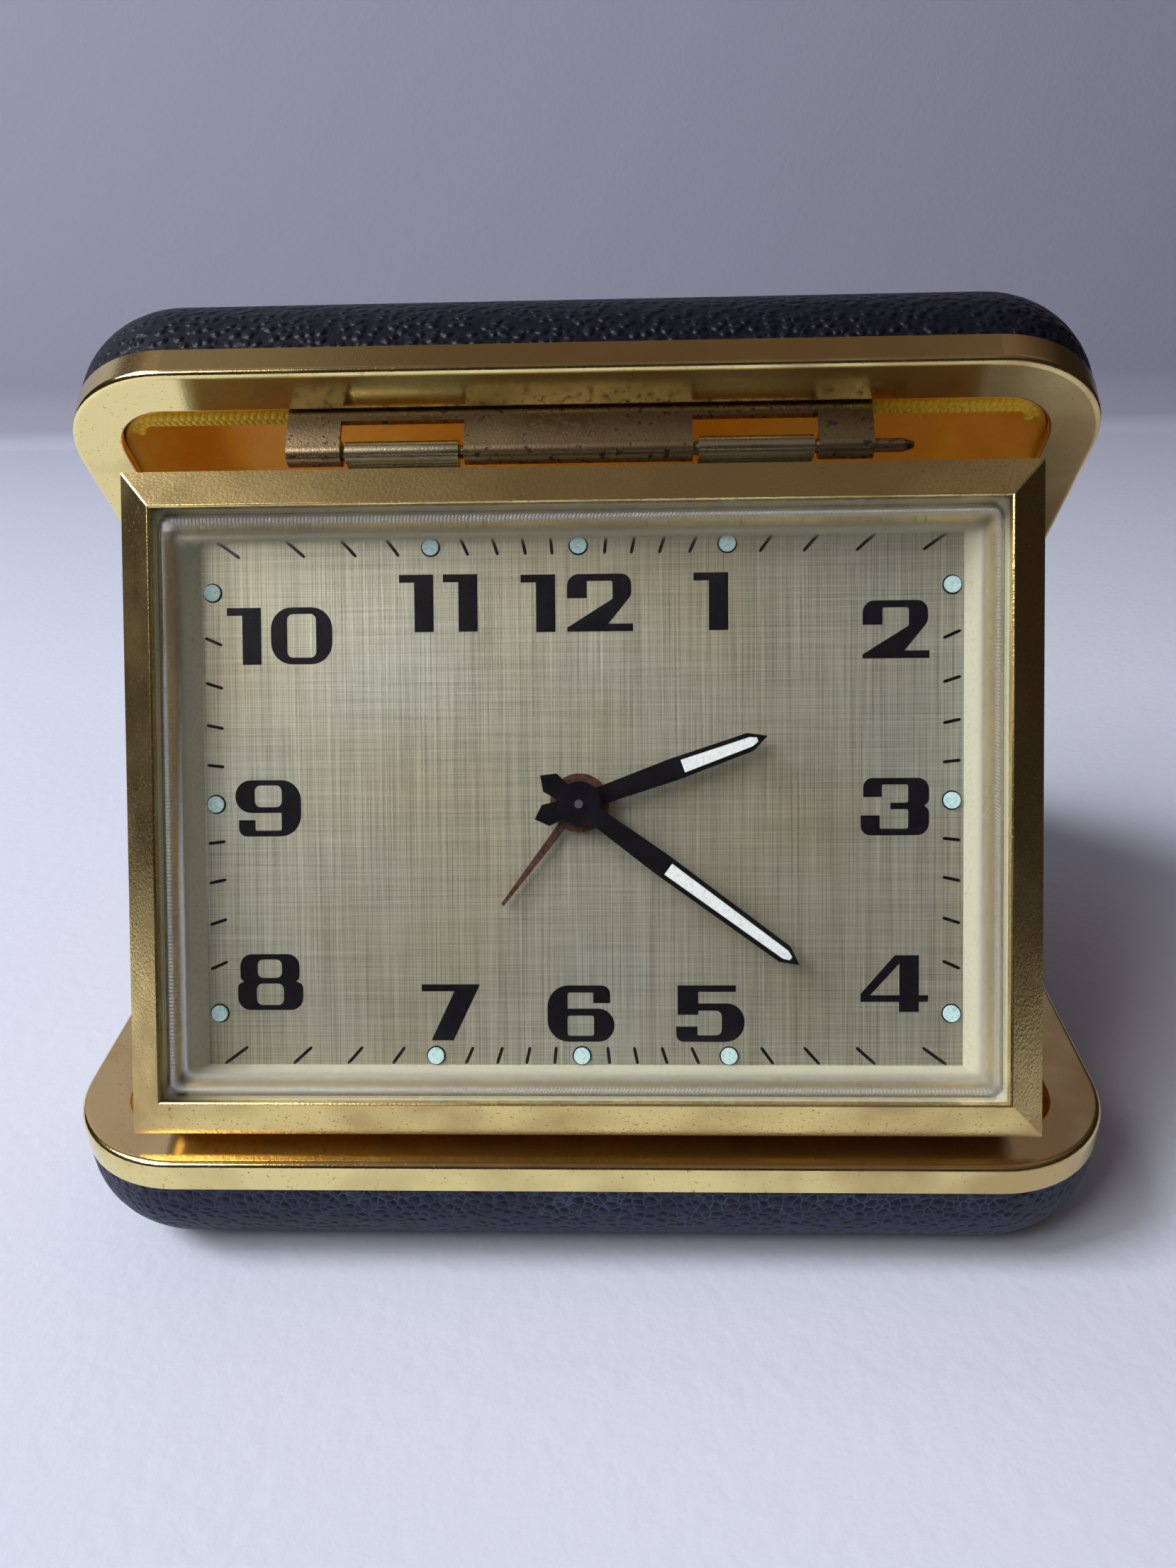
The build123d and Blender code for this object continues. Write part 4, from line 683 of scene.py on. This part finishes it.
def add_spline(curve, points, closed):
    """Adds one run of straight pieces through flat points."""
    spline = curve.splines.new("POLY")
    spline.points.add(len(points) - 1)
    for point, (x, y) in zip(spline.points, points):
        point.co = (x, y, 0, 1)
    spline.use_cyclic_u = closed


def flat_path(name, points, closed):
    """A curve object through flat points, to run a tree on."""
    curve = bpy.data.curves.new(name, "CURVE")
    curve.dimensions = "3D"
    add_spline(curve, points, closed)
    return add_object(name, curve)


# %% [markdown]
# ## Numerals
# The numerals are printed in a broad, squared face with thick uprights and thin level strokes.
# Each one is a closed outline with rounded corners, and a counter is a second outline inside it.
# A filled 2D curve leaves such inner outlines open by itself.

# %% Rounded outlines
arc_steps = 8


def rounded_outline(corners):
    """Points of an outline whose corners are given as x, y and radius."""
    points = []
    for index, (x, y, radius) in enumerate(corners):
        here = Vector((x, y))
        before = Vector(corners[index - 1][:2]) - here
        after = Vector(corners[(index + 1) % len(corners)][:2]) - here
        if radius == 0:
            points.append((x, y))
            continue
        half_turn = before.angle(after) / 2
        reach = min(radius / tan(half_turn), 0.5 * before.length, 0.5 * after.length)
        radius = reach * tan(half_turn)
        inward = (before.normalized() + after.normalized()).normalized()
        middle = here + inward * (radius / sin(half_turn))
        start = here + before.normalized() * reach - middle
        end = here + after.normalized() * reach - middle
        sweep = start.angle_signed(end)
        for step in range(arc_steps + 1):
            turn = -sweep * step / arc_steps
            points.append(
                (
                    middle.x + start.x * cos(turn) - start.y * sin(turn),
                    middle.y + start.x * sin(turn) + start.y * cos(turn),
                )
            )
    return points


digits = {
    "0": [
        [(0.0, 4.7, 1.8), (5.3, 4.7, 1.8), (5.3, 0.0, 1.8), (0.0, 0.0, 1.8)],
        [(1.4, 4.15, 0.5), (3.9, 4.15, 0.5), (3.9, 0.55, 0.5), (1.4, 0.55, 0.5)],
    ],
    "1": [
        [
            (0.0, 4.7, 0),
            (2.93, 4.7, 0),
            (2.93, 0.0, 0),
            (1.3, 0.0, 0),
            (1.3, 4.06, 0),
            (0.0, 4.06, 0),
        ]
    ],
    "2": [
        [
            (0.0, 0.0, 0),
            (0.0, 0.33, 0),
            (3.86, 2.65, 0.2),
            (3.86, 4.12, 0.2),
            (1.66, 4.12, 0.1),
            (1.66, 2.73, 0),
            (0.0, 2.73, 0),
            (0.0, 4.7, 1.6),
            (5.45, 4.7, 1.6),
            (5.46, 2.95, 0.8),
            (3.5, 0.62, 0),
            (5.58, 0.62, 0),
            (5.58, 0.0, 0),
        ]
    ],
    "3": [
        [
            (0.22, 3.14, 0),
            (0.22, 4.7, 1.5),
            (5.75, 4.7, 1.6),
            (5.75, 2.75, 0.7),
            (5.35, 2.41, 0),
            (5.75, 2.07, 0.7),
            (5.75, 0.0, 1.6),
            (0.0, 0.0, 1.5),
            (0.0, 1.64, 0),
            (1.61, 1.64, 0),
            (1.61, 0.54, 0.1),
            (4.0, 0.54, 0.2),
            (4.0, 2.14, 0.2),
            (2.51, 2.14, 0),
            (2.51, 2.67, 0),
            (4.0, 2.67, 0.2),
            (4.0, 4.16, 0.2),
            (1.79, 4.16, 0.1),
            (1.79, 3.14, 0),
        ]
    ],
    "4": [
        [
            (2.9, 4.7, 0),
            (4.92, 4.7, 0),
            (4.92, 1.39, 0),
            (5.7, 1.39, 0),
            (5.7, 0.84, 0),
            (4.92, 0.84, 0),
            (4.92, 0.0, 0),
            (3.24, 0.0, 0),
            (3.24, 0.84, 0),
            (0.0, 0.84, 0),
            (0.0, 1.5, 0),
        ],
        [(3.27, 4.0, 0), (0.8, 1.39, 0), (3.27, 1.39, 0)],
    ],
    "5": [
        [
            (0.13, 4.7, 0),
            (5.11, 4.7, 0),
            (5.11, 4.16, 0),
            (1.9, 4.16, 0),
            (1.9, 3.2, 0),
            (5.84, 3.2, 1.5),
            (5.84, 0.0, 1.6),
            (0.0, 0.0, 1.5),
            (0.0, 1.27, 0),
            (1.83, 1.27, 0),
            (1.83, 0.54, 0.1),
            (3.9, 0.54, 0.5),
            (3.9, 2.6, 0.5),
            (1.9, 2.6, 0),
            (1.9, 2.25, 0),
            (0.13, 2.25, 0),
        ]
    ],
    "6": [
        [
            (0.0, 4.7, 1.8),
            (5.4, 4.7, 1.5),
            (5.4, 3.23, 0),
            (3.94, 3.23, 0),
            (3.94, 4.11, 0.1),
            (1.74, 4.11, 0.2),
            (1.74, 2.76, 0),
            (5.76, 2.76, 1.5),
            (5.76, 0.0, 1.6),
            (0.0, 0.0, 1.8),
        ],
        [(1.73, 2.18, 0.2), (3.99, 2.18, 0.2), (3.99, 0.5, 0.2), (1.73, 0.5, 0.2)],
    ],
    "7": [
        [
            (0.0, 4.7, 0),
            (4.99, 4.7, 0),
            (4.99, 4.57, 0),
            (2.72, 0.0, 0),
            (0.81, 0.0, 0),
            (2.83, 4.12, 0),
            (0.0, 4.12, 0),
        ]
    ],
    "8": [
        [
            (0.23, 4.7, 1.7),
            (5.4, 4.7, 1.7),
            (5.4, 2.65, 0.9),
            (5.1, 2.4, 0),
            (5.7, 2.15, 0.9),
            (5.7, 0.0, 1.7),
            (0.0, 0.0, 1.7),
            (0.0, 2.15, 0.9),
            (0.55, 2.4, 0),
            (0.23, 2.65, 0.9),
        ],
        [(1.74, 4.25, 0.5), (3.87, 4.25, 0.5), (3.87, 2.7, 0.5), (1.74, 2.7, 0.5)],
        [(1.65, 2.22, 0.5), (4.0, 2.22, 0.5), (4.0, 0.42, 0.5), (1.65, 0.42, 0.5)],
    ],
    "9": [
        [
            (0.0, 4.7, 1.7),
            (5.7, 4.7, 1.7),
            (5.7, 0.0, 1.8),
            (0.28, 0.0, 1.5),
            (0.28, 1.38, 0),
            (1.72, 1.38, 0),
            (1.72, 0.48, 0.1),
            (4.0, 0.48, 0.2),
            (4.0, 1.97, 0),
            (0.0, 1.97, 1.4),
        ],
        [(1.7, 4.25, 0.5), (4.04, 4.25, 0.5), (4.04, 2.45, 0.5), (1.7, 2.45, 0.5)],
    ],
}

# %% Printing the numerals
dial_face = -2.0
ink_thickness = 0.012
print_gap = 0.004
numeral_stretch = 1.035
numeral_places = {
    "12": [("1", -4.92, 14.52), ("2", -0.98, 14.52)],
    "1": [("1", 9.73, 14.52)],
    "2": [("2", 23.93, 12.0)],
    "3": [("3", 23.76, -2.95)],
    "4": [("4", 23.76, -18.02)],
    "5": [("5", 8.08, -20.6)],
    "6": [("6", -2.95, -20.6)],
    "7": [("7", -13.8, -20.5)],
    "8": [("8", -29.8, -17.86)],
    "9": [("9", -29.75, -2.8)],
    "10": [("1", -30.2, 11.98), ("0", -26.42, 11.98)],
    "11": [("1", -15.32, 14.62), ("1", -11.55, 14.62)],
}


def print_digits(name, marks):
    """One filled curve with every outline of the printed digits."""
    curve = bpy.data.curves.new(name, "CURVE")
    curve.dimensions = "2D"
    curve.fill_mode = "BOTH"
    curve.extrude = ink_thickness / 2
    for digit, left, foot in marks:
        for corners in digits[digit]:
            outline = rounded_outline(corners)
            points = [(left + x, foot + y * numeral_stretch) for x, y in outline]
            add_spline(curve, points, True)
    source = add_object(name, curve)
    evaluated = source.evaluated_get(bpy.context.evaluated_depsgraph_get())
    mesh = bpy.data.meshes.new_from_object(evaluated)
    bpy.data.objects.remove(source)
    drawing = bmesh.new()
    drawing.from_mesh(mesh)
    bmesh.ops.remove_doubles(drawing, verts=drawing.verts, dist=0.001)
    bmesh.ops.recalc_face_normals(drawing, faces=drawing.faces)
    drawing.to_mesh(mesh)
    drawing.free()
    return mesh


marks = [mark for numeral in numeral_places.values() for mark in numeral]
numeral_mesh = print_digits("numerals", marks)
numeral_height = dial_face + ink_thickness / 2 + print_gap
numeral_mesh.transform(Matrix.Translation((0, 0, numeral_height)))
numerals = place_piece("printed_numerals", numeral_mesh, dial_frame, "clock", ink)
print("Numerals:", list(numeral_places), "faces:", len(numerals.data.polygons))

# %% [markdown]
# ## Minute marks
# The marks don't lie on a circle: each is the part of a ray between two rectangles. For a ray at
# an angle from twelve, the distance to a rectangle is one over the larger of |sin| / half width
# and |cos| / half height. Every fifth mark is a luminous dot instead, which stands in a hole: a
# ring of black ink round it is painted shade for the hole's edge.

# %% Minute track
track_sizes = {
    "Half Width": 31.4,
    "Half Height": 21.8,
    "Half Reach": 0.75,
    "Line Width": 0.27,
    "Dot Radius": 0.7,
    "Shade Ring Width": 0.13,
}
track_gap = 0.01
tree, sizes = geometry_tree("minute_track", track_sizes)


def ray_reach(tree, across, along, grow):
    """How far a ray goes to the track's rectangle, grown by a signed amount."""
    wide = maths(tree, "ADD", sizes["Half Width"], grow)
    high = maths(tree, "ADD", sizes["Half Height"], grow)
    level, upright = maths(tree, "DIVIDE", across, wide), maths(tree, "DIVIDE", along, high)
    return maths(tree, "DIVIDE", 1.0, maths(tree, "MAXIMUM", level, upright))


points = add_node(tree, "GeometryNodePoints", {"Count": 60}).outputs[0]
index = add_node(tree, "GeometryNodeInputIndex").outputs[0]
angle = maths(tree, "MULTIPLY", index, radians(6))
sine = maths(tree, "SINE", angle)
cosine = maths(tree, "COSINE", angle)
steepness = [maths(tree, "ABSOLUTE", sine), maths(tree, "ABSOLUTE", cosine)]
near = ray_reach(tree, *steepness, maths(tree, "MULTIPLY", sizes["Half Reach"], -1.0))
far = ray_reach(tree, *steepness, sizes["Half Reach"])
middle = ray_reach(tree, *steepness, 0.0)
halfway = maths(tree, "MULTIPLY", maths(tree, "ADD", near, far), 0.5)
is_hour = maths(tree, "LESS_THAN", maths(tree, "MODULO", index, 5.0), 0.5)
distance = add_node(
    tree, "ShaderNodeMix", {0: is_hour, 2: halfway, 3: middle}, data_type="FLOAT"
).outputs[0]
spot = place_of(
    tree, X=maths(tree, "MULTIPLY", sine, distance), Y=maths(tree, "MULTIPLY", cosine, distance)
)
moved = {"Geometry": points, "Position": spot}
placed = add_node(tree, "GeometryNodeSetPosition", moved).outputs[0]

bar = add_node(
    tree,
    "GeometryNodeCurvePrimitiveQuadrilateral",
    {"Width": 1.0, "Height": sizes["Line Width"]},
)
end_radius = maths(tree, "MULTIPLY", sizes["Line Width"], 0.5)
soft_bar = add_node(
    tree,
    "GeometryNodeFilletCurve",
    {"Curve": bar.outputs[0], "Count": 4, "Radius": end_radius},
    mode="POLY",
).outputs[0]
mark = add_node(tree, "GeometryNodeFillCurve", {"Curve": soft_bar}, mode="NGONS").outputs[0]
turn = place_of(tree, Z=maths(tree, "SUBTRACT", pi / 2, angle))
stretch = place_of(tree, X=maths(tree, "SUBTRACT", far, near), Y=1.0, Z=1.0)
minutes = add_node(
    tree,
    "GeometryNodeInstanceOnPoints",
    {
        "Points": placed,
        "Selection": maths(tree, "SUBTRACT", 1.0, is_hour),
        "Instance": mark,
        "Rotation": turn,
        "Scale": stretch,
    },
)
# A ring of black ink under each dot: painted shade round the hole's edge
shade_ring = add_node(
    tree,
    "GeometryNodeMeshCircle",
    {"Vertices": 40, "Radius": maths(tree, "ADD", sizes["Dot Radius"], sizes["Shade Ring Width"])},
    fill_type="NGON",
)
hours = add_node(
    tree,
    "GeometryNodeInstanceOnPoints",
    {"Points": placed, "Selection": is_hour, "Instance": shade_ring.outputs[0]},
)
end_tree(tree, [minutes.outputs[0], hours.outputs[0]], ink)
track_mesh = run_tree(flat_path("track", [(0, 0), (1, 0)], False), tree, track_sizes)
track_mesh.transform(Matrix.Translation((0, 0, dial_face + track_gap)))
place_piece("printed_minute_track", track_mesh, dial_frame, "clock", ink)

# %% [markdown]
# ## Milled line in the crystal
# A fine slanting line is milled inside the crystal's sloping edge, and catches the light like a
# white thread. It is one short ridge, repeated every 0.3 mm round a rectangle and slanted to it.

# %% Crystal milling
wide, high = 33.45, 23.1
milling_level = 2.22
milling_sizes = {"Pitch": 0.3, "Ridge Length": 0.4, "Ridge Radius": 0.09, "Slant": radians(55)}
tree, sizes = geometry_tree("crystal_milling", milling_sizes)
stations = add_node(
    tree,
    "GeometryNodeCurveToPoints",
    {"Curve": sizes["Geometry"], "Length": sizes["Pitch"]},
    mode="LENGTH",
)
ridge = add_node(
    tree,
    "GeometryNodeMeshCylinder",
    {"Vertices": 6, "Radius": sizes["Ridge Radius"], "Depth": sizes["Ridge Length"]},
)
lying = add_node(
    tree, "GeometryNodeTransform", {"Geometry": ridge.outputs[0], "Rotation": (0, pi / 2, 0)}
).outputs[0]
tangent = parts_of(tree, stations.outputs["Tangent"])
heading = maths(tree, "ARCTAN2", tangent["Y"], tangent["X"])
ridge_turn = place_of(tree, Z=maths(tree, "ADD", heading, sizes["Slant"]))
ridges = add_node(
    tree,
    "GeometryNodeInstanceOnPoints",
    {"Points": stations.outputs["Points"], "Instance": lying, "Rotation": ridge_turn},
)
end_tree(tree, [ridges.outputs[0]], milled_acrylic)
milled_corners = [(-wide, -high), (wide, -high), (wide, high), (-wide, high)]
milling_mesh = run_tree(flat_path("milled_line", milled_corners, True), tree, milling_sizes)
milling_mesh.transform(Matrix.Translation((0, 0, milling_level)))
place_piece(
    "crystal_milling", milling_mesh, dial_frame, "clock", milled_acrylic
)

# %% [markdown]
# ## Linings
# The linings are yellow-orange taffeta, glued into each shell: a floor, four sloping walls, and a
# soft fold where they meet. The sheet is built from rings, from the top edge down the wall and in
# over the floor. The weave has to follow the cloth, so each point also gets its place on the flat
# cloth as a UV map: its place on the floor, plus how far it is up the wall.

# %% Taffeta
cloth_span = 100.0  # millimetres of cloth in one unit of the UV map
thread_gap = 0.28  # real threads are near 0.1 mm apart: these are wider, so that they show

taffeta, tree = new_material("amber_silk_taffeta")
flat_place = add_node(tree, "ShaderNodeUVMap", uv_map="cloth").outputs["UV"]
cloth_mm = vector_maths(tree, "SCALE", flat_place, cloth_span)
spread = parts_of(tree, cloth_mm)
thread_angle = 2 * pi / thread_gap
warp = maths(tree, "SINE", maths(tree, "MULTIPLY", spread["X"], thread_angle))
weft = maths(tree, "SINE", maths(tree, "MULTIPLY", spread["Y"], thread_angle))
weave = maths(tree, "MULTIPLY", warp, weft)
slubs = brushed_lines(tree, cloth_mm, 0.4, 14.0, True)
woven = maths(tree, "ADD", maths(tree, "MULTIPLY", weave, 0.5), slubs)
creases = clouds(tree, cloth_mm, 0.09, 3.0)
end_material(
    tree,
    {
        "Base Color": mixed(tree, remapped(tree, creases, 0.35, 0.65), "#f7a91c", "#ffc13a"),
        "Roughness": 0.42,
        "Sheen Weight": 0.4,
        "Sheen Roughness": 0.4,
        "Sheen Tint": linear("#ffd070"),
        "Normal": bumped(tree, creases, 0.6, 1.2, bumped(tree, woven, 0.5, 0.04)),
    },
)
print("Taffeta:", taffeta.name)


# %% Lining sheets
lining_half_width, lining_half_depth, lining_corner = 41.55, 33.9, 5.1
tray_floor, glue = -11.2, 0.02
lining_floor = tray_floor + glue
lining_draft, cloth_thickness, fold = 4.8, 0.35, 1.6
wall_steps, fold_steps, floor_steps = 6, 4, 14
floor_corner = 1.2
floor_rise, swell_height = 0.10, 0.10
swell_across, swell_along = 0.09, 0.13


def rounded_ring(half_width, front, rear, corner, count=20):
    """Points round a rectangle with rounded corners, and the way out at each."""
    ring = []
    corners = ((1, 1, 0), (-1, 1, 90), (-1, -1, 180), (1, -1, 270))
    for side_x, side_y, start in corners:
        middle_y = (front - corner) if side_y > 0 else -(rear - corner)
        middle = Vector((side_x * (half_width - corner), middle_y))
        for step in range(count):
            turn = radians(start + 90 * step / (count - 1))
            out = Vector((cos(turn), sin(turn)))
            ring.append((middle + out * corner, out))
    return ring


def wall_stations(wall):
    """Steps down the wall and round the fold: across and down, and how far up the cloth."""
    slope = wall.normalized()
    stations = [
        (slope * wall.length * step / wall_steps, wall.length * (1 - step / wall_steps))
        for step in range(wall_steps - 1)
    ]
    start, finish = wall - slope * fold, Vector((wall.x + fold, wall.y))
    for step in range(fold_steps + 1):
        t = step / fold_steps
        spot = start * (1 - t) ** 2 + wall * 2 * t * (1 - t) + finish * t**2
        stations.append((spot, fold * (1 - t) ** 2 - fold * t**2))
    return stations


def lining_sheet(name, plane, body, front_set_back, top, seed):
    """A glued sheet of taffeta: walls, a soft fold and a floor that ripples a little."""
    rear, front = lining_half_depth, lining_half_depth - front_set_back
    wall = Vector((lining_draft, top - lining_floor))
    flat_ends = (lining_half_width - lining_draft, front - lining_draft, rear - lining_draft)
    points, cloth, rings = [], [], []
    for spot, unrolled in wall_stations(wall):
        inset = spot.x
        ends = (lining_half_width - inset, front - inset, rear - inset)
        ring = rounded_ring(*ends, max(lining_corner - inset, floor_corner))
        rings.append([])
        for (at, out), (flat, flat_out) in zip(ring, rounded_ring(*flat_ends, floor_corner)):
            rings[-1].append(len(points))
            points.append((at.x, at.y, top - spot.y))
            cloth.append(flat + flat_out * unrolled)
    edge = [(Vector(points[i][:2]), cloth[i]) for i in rings[-1]]
    for step in range(1, floor_steps):
        share = 1 - step / floor_steps
        rings.append([])
        for at, flat in edge:
            x, y = at.x * share, at.y * share
            swell = noise.noise(Vector((x * swell_across, y * swell_along, seed)))
            ripple = swell_height * swell * min(1.0, 3 * (1 - share))
            rings[-1].append(len(points))
            points.append((x, y, lining_floor + floor_rise + ripple))
            cloth.append(flat * share)
    faces = []
    for outer, inner in zip(rings, rings[1:]):
        for i in range(len(outer)):
            j = (i + 1) % len(outer)
            faces.append((outer[i], outer[j], inner[j], inner[i]))
    centre = len(points)
    points.append((0, 0, lining_floor + floor_rise))
    cloth.append(Vector((0, 0)))
    last = rings[-1]
    faces += [(last[i], last[(i + 1) % len(last)], centre) for i in range(len(last))]
    mesh = bpy.data.meshes.new(name)
    mesh.from_pydata(points, [], faces)
    layer = mesh.uv_layers.new(name="cloth")
    for loop in mesh.loops:
        layer.data[loop.index].uv = cloth[loop.vertex_index] / cloth_span
    smooth(mesh)
    made = place_piece(name, mesh, plane, body, taffeta)
    bpy.context.view_layer.objects.active = made
    solid = made.modifiers.new("cloth_thickness", "SOLIDIFY")
    solid.thickness = cloth_thickness * mm
    solid.offset = -1
    bpy.ops.object.select_all(action="DESELECT")
    made.select_set(True)
    bpy.ops.object.modifier_apply(modifier=solid.name)
    return made


base_lining = lining_sheet("base_taffeta", base_plane, "base", 0.0, -0.76, 1.5)
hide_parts("base_lining")
lid_lining = lining_sheet("lid_taffeta", lid_plane, "lid", 1.8, -1.36, 7.5)
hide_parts("lid_lining")

# %% [markdown]
# ## Braid along the lid lining
# A narrow silk braid is sewn along the front edge of the lid lining, and hides its raw edge. It
# is a plait of three strands: each strand swings from side to side, a third of a turn after the
# last, and goes over and under twice as fast.

# %% Braid
strand_silk = grained(
    "plaited_yellow_silk", "#ffd62a", "#d8a016", 0.12, 0.25, 0.0, 0.45, 0.03
)
cord_half, cord_front, cord_depth, cord_bend = 40.16, 30.55, 2.2, 1.6
bend_steps = 10
braid_sizes = {
    "Plait Length": 1.9,
    "Swing": 0.46,
    "Rise": 0.27,
    "Strand Radius": 0.39,
    "Step": 0.12,
}
tree, sizes = geometry_tree("silk_plait", braid_sizes)
resampled = add_node(
    tree,
    "GeometryNodeResampleCurve",
    {"Curve": sizes["Geometry"], "Length": sizes["Step"]},
    mode="LENGTH",
).outputs[0]
run = add_node(tree, "GeometryNodeSplineParameter").outputs["Length"]
way = add_node(tree, "GeometryNodeInputTangent").outputs[0]
side = vector_maths(tree, "CROSS_PRODUCT", way, (0, 0, 1))
round_profile = add_node(
    tree,
    "GeometryNodeCurvePrimitiveCircle",
    {"Resolution": 8, "Radius": sizes["Strand Radius"]},
).outputs[0]
whole_turn = maths(tree, "MULTIPLY", maths(tree, "DIVIDE", run, sizes["Plait Length"]), 2 * pi)
strands = []
for strand in range(3):
    phase = maths(tree, "ADD", whole_turn, 2 * pi * strand / 3)
    swing = maths(tree, "MULTIPLY", maths(tree, "SINE", phase), sizes["Swing"])
    twice = maths(tree, "SINE", maths(tree, "MULTIPLY", phase, 2.0))
    rise = maths(tree, "MULTIPLY", twice, sizes["Rise"])
    offset = vector_maths(
        tree, "ADD", vector_maths(tree, "SCALE", side, swing), place_of(tree, Z=rise)
    )
    bent = add_node(tree, "GeometryNodeSetPosition", {"Geometry": resampled, "Offset": offset})
    tube = add_node(
        tree,
        "GeometryNodeCurveToMesh",
        {"Curve": bent.outputs[0], "Profile Curve": round_profile, "Fill Caps": True},
    )
    soft = add_node(tree, "GeometryNodeSetShadeSmooth", {"Geometry": tube.outputs[0]})
    strands.append(soft.outputs[0])
end_tree(tree, strands, strand_silk)


def braid_path():
    """Round a bend at the left end, along the lining's edge, and round one at the right end."""
    bend_x, bend_y = cord_half - cord_bend, cord_front - cord_bend
    turns = [radians(90 / bend_steps * i) for i in range(bend_steps + 1)]
    left = [(-bend_x - cord_bend * cos(a), bend_y + cord_bend * sin(a)) for a in turns]
    right = [(bend_x + cord_bend * sin(a), bend_y + cord_bend * cos(a)) for a in turns]
    return left + right


braid_mesh = run_tree(flat_path("braid_path", braid_path(), False), tree, braid_sizes)
braid_mesh.transform(Matrix.Translation((0, 0, -cord_depth)))
braid = place_piece("lining_braid", braid_mesh, lid_plane, "lid", strand_silk)
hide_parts("lining_cord")
